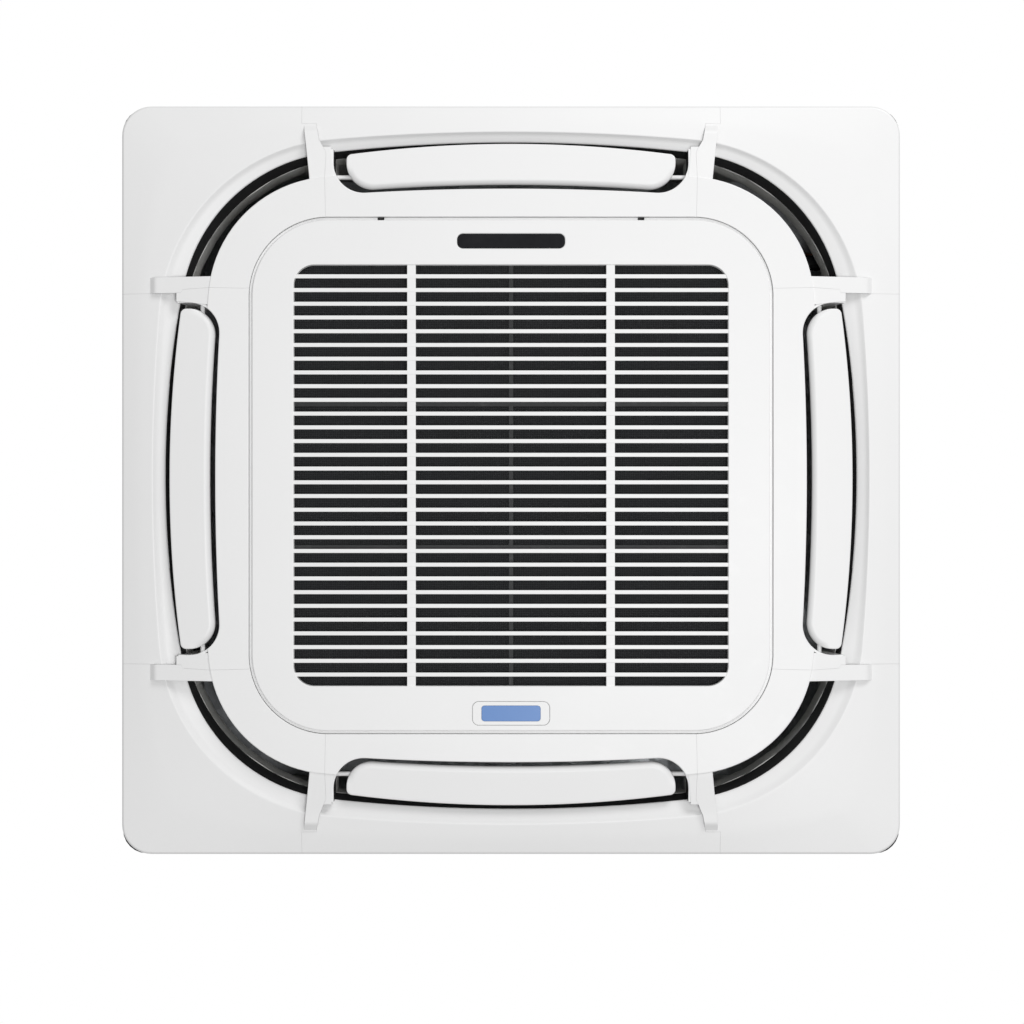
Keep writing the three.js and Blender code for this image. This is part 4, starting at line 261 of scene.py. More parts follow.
STATIONS = station_angles()
FRAME_EDGE = Outline(PANEL_HALF_X - FRAME_SIDE_X, PANEL_HALF_Y - FRAME_SIDE_Y, FRAME_CORNER,
                     FRAME_BOW_X, FRAME_BOW_Y, CREST_SHIFT)
DUCT_LIP = Outline(FRAME_EDGE.half_x - GROOVE_X, FRAME_EDGE.half_y - GROOVE_Y, LIP_CORNER,
                   LIP_BOW_X, LIP_BOW_Y)
DUCT_WALL = Outline(DUCT_LIP.half_x - WALL_LEAN_X, DUCT_LIP.half_y - WALL_LEAN_Y, WALL_CORNER,
                    SIDE_BOW, SIDE_BOW)
RING_EDGE = Outline(DUCT_WALL.half_x - RING_CORNER_X, DUCT_WALL.half_y - RING_CORNER_Y, RING_CORNER,
                    SIDE_BOW, SIDE_BOW)
SLOT_EDGE_X = DUCT_LIP.half_x - SLOT_SIDE_X
SLOT_EDGE_Y = DUCT_LIP.half_y - SLOT_SIDE_Y
GRILLE_HALF_X = SLOT_EDGE_X - RING_SIDE_X - GRILLE_GAP
GRILLE_HALF_Y = SLOT_EDGE_Y - RING_SIDE_Y - GRILLE_GAP
GRILLE = Outline(GRILLE_HALF_X, GRILLE_HALF_Y, GRILLE_CORNER, square=True)
RECESS = GRILLE.grown(GRILLE_GAP)
INTAKE_X = GRILLE_HALF_X - INTAKE_MARGIN_X
INTAKE_Y = GRILLE_HALF_Y - INTAKE_MARGIN_Y
INTAKE = Outline(INTAKE_X, INTAKE_Y, INTAKE_CORNER, square=True)
HINGE_Y = -(GRILLE_HALF_Y - HINGE_INSET)
HINGE_Z = GRILLE_FACE + HINGE_RISE


class Side:
    """One of the four sides, modelled along +Y and turned into place: v outwards, u along it."""

    def __init__(self, name, angle, along_y, facing):
        self.name, self.angle = name, angle
        self.bar = BAR_Y_SIDE if along_y else BAR_X_SIDE
        self.shift = 0 if along_y else SIDE_SLOT_SHIFT
        self.crest_at = FRAME_EDGE.reach_at(along_y, self.bar["seam_frame"]) + facing * CREST_SHIFT
        self.lip_at = DUCT_LIP.reach_at(along_y, self.bar["seam_lip"])
        self.ring_at = RING_EDGE.reach_at(along_y, self.bar["ring_outer"])
        self.lip = DUCT_LIP.half_y if along_y else DUCT_LIP.half_x
        self.slot_edge = SLOT_EDGE_Y if along_y else SLOT_EDGE_X
        self.slot_half = SLOT_HALF_Y_SIDE if along_y else SLOT_HALF_X_SIDE
        self.panel_half = PANEL_HALF_Y + facing * EDGE_SHIFT if along_y else PANEL_HALF_X
        self.block = BLOCK_LENGTH_Y if along_y else BLOCK_LENGTH_X
        self.vane_half = self.slot_half - (LOUVER_END_GAP_Y if along_y else LOUVER_END_GAP_X)
        self.vane_inner = self.slot_edge + (LOUVER_INNER_GAP_Y if along_y else LOUVER_INNER_GAP_X)
        outer_gaps = {1: LOUVER_OUTER_GAP_Y, 0: LOUVER_OUTER_GAP_X, -1: LOUVER_OUTER_GAP_FRONT}
        self.vane_outer = self.lip - outer_gaps[facing]

    def place(self, obj):
        turn = Matrix.Rotation(math.radians(self.angle), 4, 'Z')
        obj.data.transform(Matrix.Translation((0, self.shift * MM, 0)) @ turn)
        return obj

    def frame_face_at(self, v):
        """Height just inside the outer frame's sloping face, a distance v from the middle."""
        share = (self.panel_half - v) / (self.panel_half - self.crest_at)
        return EDGE + (CREST - EDGE) * share + 1

    def bar_face(self):
        """A bridge bar's face in section, from the raised block on the frame to the ring."""
        end = self.crest_at + self.block
        return [[end, self.frame_face_at(end)], [end - self.block / 2, CREST - BLOCK_STAND],
                [self.crest_at - SKIN, CREST - BLOCK_STAND - 1],
                [self.ring_at + SKIN, RING_FACE + BAR_DROP], [self.ring_at - SKIN, RING_FACE + BAR_DROP]]


SIDES = [Side("rear", 0, True, 1), Side("left", 90, False, 0),
         Side("front", 180, True, -1), Side("right", 270, False, 0)]
CORNERS = [("rear_right", 1, 1), ("rear_left", -1, 1), ("front_left", -1, -1), ("front_right", 1, -1)]
SWAP_X_Y = Matrix(((0, 1, 0, 0), (1, 0, 0, 0), (0, 0, 1, 0), (0, 0, 0, 1)))


# ---------------------------------------------------------------- mesh helpers
def at(loop, z):
    return np.column_stack([loop, np.full(len(loop), float(z))])


def linked(name, mesh):
    obj = bpy.data.objects.new(name, mesh)
    bpy.context.scene.collection.objects.link(obj)
    return obj


def discard(*objects):
    for obj in objects:
        mesh = obj.data
        bpy.data.objects.remove(obj)
        bpy.data.meshes.remove(mesh)


def solid(points, faces, name="form"):
    """A closed mesh from points in millimetres, with its faces turned outwards."""
    mesh = bpy.data.meshes.new(name)
    mesh.from_pydata((np.asarray(points, float) * MM).tolist(), [], faces)
    work = bmesh.new()
    work.from_mesh(mesh)
    bmesh.ops.remove_doubles(work, verts=work.verts, dist=2e-7)
    bmesh.ops.recalc_face_normals(work, faces=work.faces)
    work.to_mesh(mesh)
    work.free()
    return linked(name, mesh)


def walls(rows, count, wrap=False):
    """Faces between closed rows of points, each row joined to the next."""
    faces = []
    for r in range(rows if wrap else rows - 1):
        n = (r + 1) % rows
        for i in range(count):
            j = (i + 1) % count
            faces.append((r * count + i, r * count + j, n * count + j, n * count + i))
    return faces


def band(rows):
    """A closed band round the panel, its last row joined to the first."""
    return solid(np.concatenate(rows), walls(len(rows), len(rows[0]), wrap=True))


def plug(rows):
    """A solid from its lowest row to its highest, with flat ends."""
    count = len(rows[0])
    last = (len(rows) - 1) * count
    ends = [tuple(range(count - 1, -1, -1)), tuple(range(last, last + count))]
    return solid(np.concatenate(rows), walls(len(rows), count) + ends)


def prism(plan, z0, z1):
    plan = np.asarray(plan, float)
    return plug([at(plan, z0), at(plan, z1)])


def block(x0, x1, y0, y1, z0, z1):
    return prism([[x0, y0], [x1, y0], [x1, y1], [x0, y1]], z0, z1)


def fillet(rows, radii, steps=ROUND_STEPS):
    """Rounds a closed profile at each row that has a radius."""
    made = []
    for i, (row, radius) in enumerate(zip(rows, radii)):
        if not radius:
            made.append(row)
            continue
        ends = []
        for other in (rows[i - 1], rows[(i + 1) % len(rows)]):
            apart = np.linalg.norm(other - row, axis=1, keepdims=True)
            ends.append(row + (other - row) * np.minimum(radius / apart, LONGEST_ROUND))
        before, after = ends
        for t in np.linspace(0, 1, steps + 1):
            made.append((1 - t) ** 2 * before + 2 * t * (1 - t) * row + t * t * after)
    return made


def softened(points, radii, steps=ROUND_STEPS):
    """The same for a flat outline."""
    return np.concatenate(fillet([np.array([p], float) for p in points], radii, steps))


def sweep(section, u0, u1):
    """A section in v and z, drawn out along u."""
    section = np.asarray(section, float)
    rows = [np.column_stack([np.full(len(section), float(u)), section]) for u in (u0, u1)]
    return plug(rows)


def rod(radius, length, x, y, z, steps=40, edge=0.0):
    """A round rod along X from its base at a point, with its ends chamfered where an edge is given."""
    edge = min(edge, radius / 3)
    profile = [[radius, 0], [radius, length]]
    if edge:
        profile = [[radius - edge, 0], [radius, edge], [radius, length - edge], [radius - edge, length]]
    turn = np.linspace(0, 2 * math.pi, steps, endpoint=False)
    circle = np.column_stack([np.cos(turn), np.sin(turn)])
    body = plug([at(reach * circle, height) for reach, height in profile])
    lie_down = Matrix.Rotation(math.radians(90), 4, 'Y')
    body.data.transform(Matrix.Translation((x * MM, y * MM, z * MM)) @ lie_down)
    return body


def quarter_round(plan_at, radius, z, steps=5):
    """Rows from a level face into an upright wall; plan_at gives the outline grown by an amount."""
    return [at(plan_at(radius * (1 - math.sin(turn))), z + radius * (1 - math.cos(turn)))
            for turn in np.linspace(0, math.pi / 2, steps)]


def settle(obj):
    """Makes an object's modifiers plain."""
    bpy.context.view_layer.update()
    evaluated = obj.evaluated_get(bpy.context.evaluated_depsgraph_get())
    mesh = bpy.data.meshes.new_from_object(evaluated)
    obj.modifiers.clear()
    old = obj.data
    obj.data = mesh
    bpy.data.meshes.remove(old)
    mesh.name = obj.name
    return obj


def combine(operation, base, tools, keep=False):
    """Joins or cuts closed bodies, and discards the tools unless they are kept."""
    for tool in tools:
        modifier = base.modifiers.new("combine", 'BOOLEAN')
        modifier.operation = operation
        modifier.solver = 'MANIFOLD'
        modifier.object = tool
    settle(base)
    if not len(base.data.polygons):
        raise RuntimeError(f"nothing is left of {base.name} after {operation}")
    if not keep:
        discard(*tools)
    return base


def join(base, *tools):
    return combine('UNION', base, tools)


def cut(base, *tools):
    return combine('DIFFERENCE', base, tools)


def overlap(base, *tools, keep=False):
    return combine('INTERSECT', base, tools, keep)


def copied(obj):
    return linked(obj.name, obj.data.copy())


def merged(first, *others):
    """Puts meshes side by side in one object."""
    work = bmesh.new()
    for obj in (first, *others):
        work.from_mesh(obj.data)
    work.to_mesh(first.data)
    work.free()
    if others:
        discard(*others)
    return first


def bevelled(obj, width, segments=2, angle=40):
    modifier = obj.modifiers.new("edges", 'BEVEL')
    modifier.width = width * MM
    modifier.segments = segments
    modifier.limit_method = 'ANGLE'
    modifier.angle_limit = math.radians(angle)
    modifier.use_clamp_overlap = True
    return settle(obj)


def shaded(obj, angle=32):
    """Smooth faces with sharp edges past an angle, and flat faces that stay flat."""
    obj.data.shade_smooth()
    obj.data.set_sharp_from_angle(angle=math.radians(angle))
    modifier = obj.modifiers.new("normals", 'WEIGHTED_NORMAL')
    modifier.keep_sharp = True
    modifier.weight = 50
    return settle(obj)


def fixed(obj, name, body, finish, *nodes, angle=32, slot=None):
    """Names a finished piece, gives it its finish and sets it on its body in place of nodes."""
    shaded(obj, angle)
    obj.name = obj.data.name = name
    obj.data.materials.clear()
    obj.data.materials.append(finish_of(finish))
    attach(obj, body)
    if nodes:
        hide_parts(*nodes)
    return obj


def marked_with_duct_shade(obj):
    """Marks the faces inside the air duct, past its lip, which carry near-black painted shade."""
    inside = DUCT_LIP.grown(PAINTED_SHADE_REACH)
    right, top, centre, _, _ = inside.arcs()
    marks = []
    for face in obj.data.polygons:
        x, y, z = abs(face.center.x) / MM, abs(face.center.y) / MM, face.center.z / MM
        in_bows = math.hypot(x - right[0], y) < inside.bow_x and math.hypot(x, y - top[1]) < inside.bow_y
        in_corner = (x < centre[0] or y < centre[1]
                     or math.hypot(x - centre[0], y - centre[1]) < inside.corner)
        marks.append(1.0 if in_bows and in_corner and z > LIP + PAINTED_SHADE_RISE else 0.0)
    layer = obj.data.attributes.new("lining", 'FLOAT', 'FACE')
    layer.data.foreach_set("value", marks)
    return obj


def panel_place(obj):
    """Moves a piece that is drawn about the ring's middle to its place about the panel's."""
    obj.data.transform(Matrix.Translation((0, -EDGE_SHIFT * MM, 0)))
    return obj


def body_of(node):
    return frame["nodes"][node]["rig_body"]


def refined(node, width, segments=2, angle=35):
    """A copy of a solid with its loose triangles joined and its edges rounded."""
    obj = linked(node + "_form", frame["nodes"][node].data.copy())
    obj.data.materials.clear()
    work = bmesh.new()
    work.from_mesh(obj.data)
    bmesh.ops.remove_doubles(work, verts=work.verts, dist=2e-6)
    bmesh.ops.dissolve_limit(work, angle_limit=math.radians(0.6), verts=work.verts, edges=work.edges)
    work.to_mesh(obj.data)
    work.free()
    normals = obj.data.attributes.get("custom_normal")
    if normals:
        obj.data.attributes.remove(normals)
    return bevelled(obj, width, segments, angle)


# ---------------------------------------------------------------- repeats
def repeat_tree():
    """Copies of one unit in a row, each turned on about Z."""
    known = bpy.data.node_groups.get("repeated units")
    if known:
        return known
    tree = bpy.data.node_groups.new("repeated units", 'GeometryNodeTree')
    for label, kind in (("Unit", 'Object'), ("Count", 'Int'), ("Start", 'Vector'), ("Step", 'Vector'),
                        ("Turn", 'Float'), ("Finish", 'Material')):
        tree.interface.new_socket(label, in_out='INPUT', socket_type='NodeSocket' + kind)
    tree.interface.new_socket("Geometry", in_out='OUTPUT', socket_type='NodeSocketGeometry')
    graph = Graph(tree)
    given = graph.add('NodeGroupInput')
    value = {label: Value(graph, given.outputs[label]) for label in
             ("Unit", "Count", "Start", "Step", "Turn", "Finish")}
    line = graph.add('GeometryNodeMeshLine', {"mode": 'OFFSET'},
                     {"Count": value["Count"], "Start Location": value["Start"], "Offset": value["Step"]})
    unit = graph.add('GeometryNodeObjectInfo', {}, {"Object": value["Unit"]})
    index = Value(graph, graph.add('GeometryNodeInputIndex').outputs[0])
    spin = graph.add('ShaderNodeCombineXYZ', {}, {"Z": index * value["Turn"]})
    copies = graph.add('GeometryNodeInstanceOnPoints', {}, {
        "Points": Value(graph, line.outputs[0]), "Instance": Value(graph, unit.outputs["Geometry"]),
        "Rotation": Value(graph, spin.outputs[0])})
    real = graph.add('GeometryNodeRealizeInstances', {}, {"Geometry": Value(graph, copies.outputs[0])})
    painted = graph.add('GeometryNodeSetMaterial', {}, {
        "Geometry": Value(graph, real.outputs[0]), "Material": value["Finish"]})
    graph.add('NodeGroupOutput', {}, {"Geometry": Value(graph, painted.outputs[0])})
    return tree


def repeated(unit, count, start=(0, 0, 0), step=(0, 0, 0), turn=0.0, finish="white_plastic"):
    """Repeats a unit that stands at the origin; sizes in millimetres, turn in degrees."""
    tree = repeat_tree()
    host = linked(unit.name + "_row", bpy.data.meshes.new("row"))
    modifier = host.modifiers.new("repeat", 'NODES')
    modifier.node_group = tree
    given = {"Unit": unit, "Count": count, "Start": [v * MM for v in start], "Step": [v * MM for v in step],
             "Turn": math.radians(turn), "Finish": finish_of(finish)}
    for item in tree.interface.items_tree:
        if item.in_out == 'INPUT':
            modifier[item.identifier] = given[item.name]
    settle(host)
    discard(unit)
    return host


# ---------------------------------------------------------------- shader maths
class Value:
    """A node socket that takes part in sums."""

    def __init__(self, graph, socket):
        self.graph, self.socket = graph, socket

    def __add__(self, other):
        return self.graph.maths('ADD', self, other)

    def __sub__(self, other):
        return self.graph.maths('SUBTRACT', self, other)

    def __rsub__(self, other):
        return self.graph.maths('SUBTRACT', other, self)

    def __mul__(self, other):
        return self.graph.maths('MULTIPLY', self, other)

    def __lt__(self, other):
        return self.graph.maths('LESS_THAN', self, other)

    def sine(self):
        return self.graph.maths('SINE', self)

    def clamped(self):
        return self.graph.maths('ADD', self, 0.0, use_clamp=True)

    __radd__ = __add__
    __rmul__ = __mul__


class Graph:
    """Adds nodes to a tree: their type, then their settings, then what feeds them."""

    def __init__(self, tree):
        self.tree = tree

    def add(self, kind, settings=None, inputs=None):
        node = self.tree.nodes.new(kind)
        for key, setting in (settings or {}).items():
            if key == "stops":
                ramp = node.color_ramp
                while len(ramp.elements) < len(setting):
                    ramp.elements.new(0.5)
                for element, (place, colour) in zip(ramp.elements, setting):
                    element.position, element.color = place, colour
            else:
                setattr(node, key, setting)
        for key, given in (inputs or {}).items():
            if isinstance(given, Value):
                self.tree.links.new(given.socket, node.inputs[key])
            else:
                node.inputs[key].default_value = given
        return node

    def out(self, kind, settings=None, inputs=None, output=0):
        return Value(self, self.add(kind, settings, inputs).outputs[output])

    def maths(self, operation, *values, **settings):
        return self.out('ShaderNodeMath', {"operation": operation, **settings}, dict(enumerate(values)))

    def place(self, turn=(0, 0, 0), scale=(1, 1, 1)):
        spot = self.out('ShaderNodeTexCoord', output="Object")
        return self.out('ShaderNodeMapping', {}, {"Vector": spot, "Rotation": turn, "Scale": scale})

    def noise(self, scale, detail=3.0, roughness=0.5, vector=None):
        return self.out('ShaderNodeTexNoise', {}, {"Vector": vector or self.place(), "Scale": scale,
                                                   "Detail": detail, "Roughness": roughness})

    def cells(self, scale, output="Distance", **settings):
        return self.out('ShaderNodeTexVoronoi', settings, {"Vector": self.place(), "Scale": scale}, output)

    def blend(self, share, first, second):
        node = self.add('ShaderNodeMix', {"data_type": 'RGBA'}, {0: share})
        for socket, given in ((node.inputs[6], first), (node.inputs[7], second)):
            if isinstance(given, Value):
                self.tree.links.new(given.socket, socket)
            else:
                socket.default_value = (*given, 1.0)
        return Value(self, node.outputs[2])

    def bump(self, height, strength, depth):
        return self.out('ShaderNodeBump', {}, {"Height": height, "Strength": strength, "Distance": depth})


def new_finish(name):
    material = bpy.data.materials.new(name)
    material.use_nodes = True
    material.node_tree.nodes.clear()
    return material, Graph(material.node_tree)


def principled(graph, inputs):
    shader = graph.add('ShaderNodeBsdfPrincipled', {}, inputs)
    graph.add('ShaderNodeOutputMaterial', {}, {"Surface": Value(graph, shader.outputs[0])})


def moulded(name, colour, roughness, grain=0.06, specular=0.5, mottle=0.03, scuffs=0.05, lining=None):
    """Moulded plastic: fine grain, faint flow mottling and rubbed patches.

    Given a colour for painted shade, the faces marked in its face attribute carry near-black painted shade
    and are a little rougher.
    """
    material, graph = new_finish(name)
    flow = graph.noise(7.0, 4.0, 0.55)
    fine = graph.noise(1500.0, 2.0, 0.6)
    rubbed = graph.out('ShaderNodeValToRGB', {"stops": [(0.56, (0, 0, 0, 1)), (0.74, (1, 1, 1, 1))]},
                       {"Fac": graph.noise(38.0, 6.0, 0.7)})
    shade = tuple(c * (1 - mottle) for c in colour)
    tint = graph.blend((flow * 0.8 + fine * 0.2).clamped(), colour, shade)
    gloss = (graph.maths('MULTIPLY', rubbed, -scuffs) + flow * 0.06 + (roughness - 0.03)).clamped()
    # painted shade: faces marked inside the duct turn near-black
    if lining:
        marked = graph.out('ShaderNodeAttribute', {"attribute_name": "lining"}, output="Fac")
        tint = graph.blend(marked, tint, lining)
        gloss = (gloss + marked * 0.4).clamped()
    principled(graph, {"Base Color": tint, "Roughness": gloss, "Specular IOR Level": specular,
                       "Normal": graph.bump(fine + flow * 0.2, grain, 0.0004)})
    return material


def painted_sheet(name, colour, roughness, metallic, spangle):
    """Galvanised sheet: large zinc crystals, rolling marks and dull handling stains."""
    material, graph = new_finish(name)
    crystals = graph.cells(95.0, "Color")
    facet = graph.out('ShaderNodeSeparateColor', {}, {"Color": crystals})
    rolled = graph.noise(240.0, 3.0, 0.6, graph.place(scale=(0.05, 1, 1)))
    stain = graph.noise(9.0, 5.0, 0.6)
    dark = tuple(c * (1 - spangle) for c in colour)
    tint = graph.blend((facet * 0.6 + stain * 0.4).clamped(), colour, dark)
    gloss = (facet * 0.16 + stain * 0.12 + (roughness - 0.14)).clamped()
    principled(graph, {"Base Color": tint, "Roughness": gloss, "Metallic": metallic,
                       "Normal": graph.bump(rolled + facet * 0.3, 0.08, 0.0004)})
    return material


def machined(name, colour, roughness, tarnish, axis_scale=(1, 1, 1)):
    """Drawn or machined metal: fine drawing lines and patches of tarnish."""
    material, graph = new_finish(name)
    lines = graph.noise(700.0, 2.0, 0.5, graph.place(scale=axis_scale))
    patches = graph.out('ShaderNodeValToRGB', {"stops": [(0.42, (0, 0, 0, 1)), (0.68, (1, 1, 1, 1))]},
                        {"Fac": graph.noise(42.0, 6.0, 0.65)})
    tint = graph.blend(patches, colour, tarnish)
    gloss = (graph.maths('MULTIPLY', patches, 0.18) + lines * 0.12 + (roughness - 0.06)).clamped()
    principled(graph, {"Base Color": tint, "Roughness": gloss, "Metallic": 1.0,
                       "Normal": graph.bump(lines, 0.12, 0.0003)})
    return material


def foamed(name, colour, roughness, cell, depth):
    """Expanded foam: packed beads or open cells, with a slightly dirty skin."""
    material, graph = new_finish(name)
    beads = graph.cells(cell)
    dirt = graph.noise(16.0, 5.0, 0.6)
    dark = tuple(c * 0.78 for c in colour)
    tint = graph.blend((beads * 0.35 + dirt * 0.45).clamped(), colour, dark)
    principled(graph, {"Base Color": tint, "Roughness": (dirt * 0.1 + (roughness - 0.05)).clamped(),
                       "Specular IOR Level": 0.3, "Normal": graph.bump(beads, 0.5, depth)})
    return material


def gloss_window(name, colour):
    """Smoke-black acrylic with faint polishing swirls."""
    material, graph = new_finish(name)
    haze = graph.noise(60.0, 5.0, 0.65)
    swirl = graph.noise(900.0, 2.0, 0.6, graph.place(scale=(1, 0.1, 1)))
    tint = graph.blend(haze, colour, tuple(c + 0.012 for c in colour))
    principled(graph, {"Base Color": tint, "Roughness": (haze * 0.12 + 0.1).clamped(),
                       "Specular IOR Level": 0.2, "Normal": graph.bump(swirl, 0.02, 0.0002)})
    return material


def fin_pack(name, colour):
    """Pressed aluminium fins: close parallel edges with a hydrophilic blue-grey bloom, and painted shade
    darkening the gaps between the edges.
    """
    material, graph = new_finish(name)
    spot = graph.add('ShaderNodeSeparateXYZ', {}, {"Vector": graph.place()})
    across = Value(graph, spot.outputs[0]) + Value(graph, spot.outputs[1])
    comb = (across * (2 * math.pi / FIN_PITCH)).sine() * 0.5 + 0.5
    bent = graph.noise(30.0, 4.0, 0.6)
    # painted shade: the gaps between fin edges are darkened to about a third of the fin colour
    tint = graph.blend((comb * 0.7 + bent * 0.3).clamped(), tuple(c * 0.35 for c in colour), colour)
    principled(graph, {"Base Color": tint, "Metallic": 0.9, "Roughness": (bent * 0.2 + 0.35).clamped(),
                       "Normal": graph.bump(comb, 0.5, 0.0008)})
    return material


def board(name, colour):
    """Solder-masked board: traces under the mask and tinned pads."""
    material, graph = new_finish(name)
    traces = graph.cells(420.0, "Distance", distance='MANHATTAN', feature='F1')
    lines = graph.out('ShaderNodeTexBrick', {"offset": 0.5}, {
        "Vector": graph.place(), "Scale": 90.0, "Mortar Size": 0.09, "Color1": (0, 0, 0, 1),
        "Color2": (0.3, 0.3, 0.3, 1), "Mortar": (1, 1, 1, 1)})
    pads = graph.cells(160.0) < 0.16
    mask = graph.blend(lines, colour, tuple(c * 0.55 for c in colour))
    tint = graph.blend(pads, mask, (0.62, 0.6, 0.52))
    principled(graph, {"Base Color": tint, "Metallic": (pads * 0.8).clamped(),
                       "Roughness": (traces * 0.1 + 0.32).clamped(),
                       "Normal": graph.bump(graph.maths('ADD', lines, pads), 0.25, 0.0002)})
    return material


def netting(name, colour):
    """Woven filter net: square mesh of fine threads with caught dust, and painted shade in the openings
    between the threads.
    """
    material, graph = new_finish(name)
    spot = graph.add('ShaderNodeSeparateXYZ', {}, {"Vector": graph.place()})
    pitch = 2 * math.pi / NET_PITCH
    x, y = Value(graph, spot.outputs[0]), Value(graph, spot.outputs[1])
    threads = graph.maths('MAXIMUM', (x * pitch).sine(), (y * pitch).sine())
    dust = graph.noise(22.0, 5.0, 0.65)
    # painted shade: the openings between threads are darkened; the dust is lighter
    tint = graph.blend((threads * 0.6 + dust * 0.4).clamped(), tuple(c * 0.3 for c in colour), colour)
    principled(graph, {"Base Color": tint, "Roughness": (dust * 0.15 + 0.75).clamped(),
                       "Specular IOR Level": 0.2, "Normal": graph.bump(threads, 0.6, 0.0005)})
    return material


FINISH_MAKERS = {
    "white_plastic": lambda look: moulded("satin_white_plastic", tuple(look.white[:3]), look.white_roughness),
    # the panel's white, with near-black painted shade on the duct's inner walls
    "panel_white": lambda look: moulded("satin_white_panel", tuple(look.white[:3]), look.white_roughness,
                                        lining=DUCT_PAINTED_SHADE),
    "grey_plastic": lambda look: moulded("grey_plastic", (0.2, 0.208, 0.214), 0.5, 0.1, mottle=0.12,
                                         scuffs=0.12),
    "dark_plastic": lambda look: moulded("charcoal_plastic", (0.026, 0.028, 0.03), 0.55, 0.12, mottle=0.25,
                                         scuffs=0.15),
    "black_gloss": lambda look: gloss_window("smoked_window", (0.006, 0.006, 0.008)),
    "blue_plastic": lambda look: moulded("blue_plastic", tuple(look.badge[:3]), 0.34, 0.05, mottle=0.06),
    # the seal's black is partly its own colour and partly painted shadow: the seal stands for the dark
    # slivers of shadow at the panel's corners
    "black_foam": lambda look: foamed("black_sealing_foam", (0.008, 0.008, 0.009), 0.95, 900.0, 0.0006),
    "black_rubber": lambda look: moulded("black_rubber", (0.014, 0.014, 0.015), 0.7, 0.15, 0.3, 0.2, 0.1),
    "white_foam": lambda look: foamed("polystyrene_foam", (0.8, 0.8, 0.78), 0.85, 300.0, 0.0008),
    "galvanised": lambda look: painted_sheet("galvanised_sheet", (0.56, 0.58, 0.6), 0.45, 0.9, 0.28),
    "steel": lambda look: machined("bright_steel", (0.5, 0.51, 0.53), 0.3, (0.36, 0.35, 0.34)),
    "copper": lambda look: machined("drawn_copper", (0.72, 0.34, 0.2), 0.28, (0.36, 0.16, 0.09),
                                    (0.05, 1, 1)),
    "brass_nut": lambda look: machined("brass", (0.7, 0.52, 0.22), 0.3, (0.42, 0.3, 0.13)),
    "fin_aluminium": lambda look: fin_pack("coil_fins", (0.6, 0.66, 0.72)),
    "circuit_board": lambda look: board("circuit_board_green", (0.02, 0.14, 0.05)),
    "filter_net": lambda look: netting("filter_net_weave", (0.05, 0.052, 0.055)),
}
MADE_FINISHES = {}


def finish_of(slot):
    if slot not in MADE_FINISHES:
        MADE_FINISHES[slot] = FINISH_MAKERS[slot](bpy.context.scene.cassette_look)
    return MADE_FINISHES[slot]


# ---------------------------------------------------------------- outlines in plan
def arc(centre, radius, start, end, steps):
    turn = np.linspace(start, end, steps + 1)
    return np.column_stack([centre[0] + radius * np.cos(turn), centre[1] + radius * np.sin(turn)])


def vane_outline(half, inner, inner_bow, inner_round, outer, outer_bow, outer_round):
    """Bowed inner and outer edges, straight ends and rounded corners."""
    inner_centre, outer_centre = inner - inner_bow, outer - outer_bow
    ui, uo = half - inner_round, half - outer_round
    vi = inner_centre + math.sqrt((inner_bow + inner_round) ** 2 - ui ** 2)
    vo = outer_centre + math.sqrt((outer_bow - outer_round) ** 2 - uo ** 2)
    low, high = math.atan2(vi - inner_centre, ui), math.atan2(vo - outer_centre, uo)
    pi = math.pi
    return np.concatenate([
        arc((-ui, vi), inner_round, pi, 2 * pi - low, 16),
        arc((0, inner_centre), inner_bow, pi - low, low, 40)[1:],
        arc((ui, vi), inner_round, pi + low, 2 * pi, 16)[1:],
        arc((uo, vo), outer_round, 0, high, 6),
        arc((0, outer_centre), outer_bow, high, pi - high, 40)[1:],
        arc((-uo, vo), outer_round, pi - high, pi, 6)[1:],
    ])


def slot_outline(side, grow):
    return vane_outline(side.slot_half + grow, side.slot_edge - grow, SLOT_BOW - grow, SLOT_CORNER + grow,
                        side.lip + GROOVE_STEEP * 2, SIDE_BOW, LOUVER_OUTER_CORNER)


def rounded_plan(half_x, half_y, corner, y=0, steps=8):
    quarter = math.pi / 2
    return np.concatenate([
        arc((sx * (half_x - corner), y + sy * (half_y - corner)), corner, start * quarter,
            (start + 1) * quarter, steps)
        for start, (sx, sy) in enumerate(((1, 1), (-1, 1), (-1, -1), (1, -1)))])


def seam_line(side, gap):
    """The line on which a corner cover parts from the frame, from the edge inwards."""
    bar, end = side.bar, side.crest_at + side.block + SEAM
    jog = [] if bar["edge_seam"] == bar["seam_block"] else [[bar["edge_seam"] + gap, end - gap]]
    return jog + [[bar["seam_block"] + gap, end - gap], [bar["seam_frame"] + gap, side.crest_at],
                  [bar["seam_lip"] + gap, side.lip_at], [bar["seam_groove"] + gap, side.lip_at - 3],
                  [bar["seam_ring"] + gap, side.ring_at + 4],
                  [bar["seam_ring"] - 1 + gap, side.slot_edge - RING_SIDE_Y]]


def corner_plan(sx, sy, points):
    """A plan drawn where x and y are positive, laid into a corner; a side slot's end shifts with it."""
    return [[sx * x, sy * y + (SIDE_SLOT_SHIFT if y < x and y < SLOT_HALF_X_SIDE + 40 else 0)]
            for x, y in points]


def sides_of(corner):
    """The signs of a corner and the two sides that meet there."""
    _, sx, sy = corner
    return sx, sy, SIDES[0 if sy > 0 else 2], SIDES[1]


def corner_column(corner, gap):
    """All the room that belongs to a corner cover."""
    sx, sy, y_side, x_side = sides_of(corner)
    top, right = seam_line(y_side, gap), seam_line(x_side, gap)
    points = [[top[0][0], y_side.panel_half + 20], *top, [top[-1][0], right[-1][0]],
              *[[v, u] for u, v in reversed(right)], [x_side.panel_half + 20, right[0][0]],
              [x_side.panel_half + 20, y_side.panel_half + 20]]
    return prism(corner_plan(sx, sy, points), LOWEST, HIGHEST)


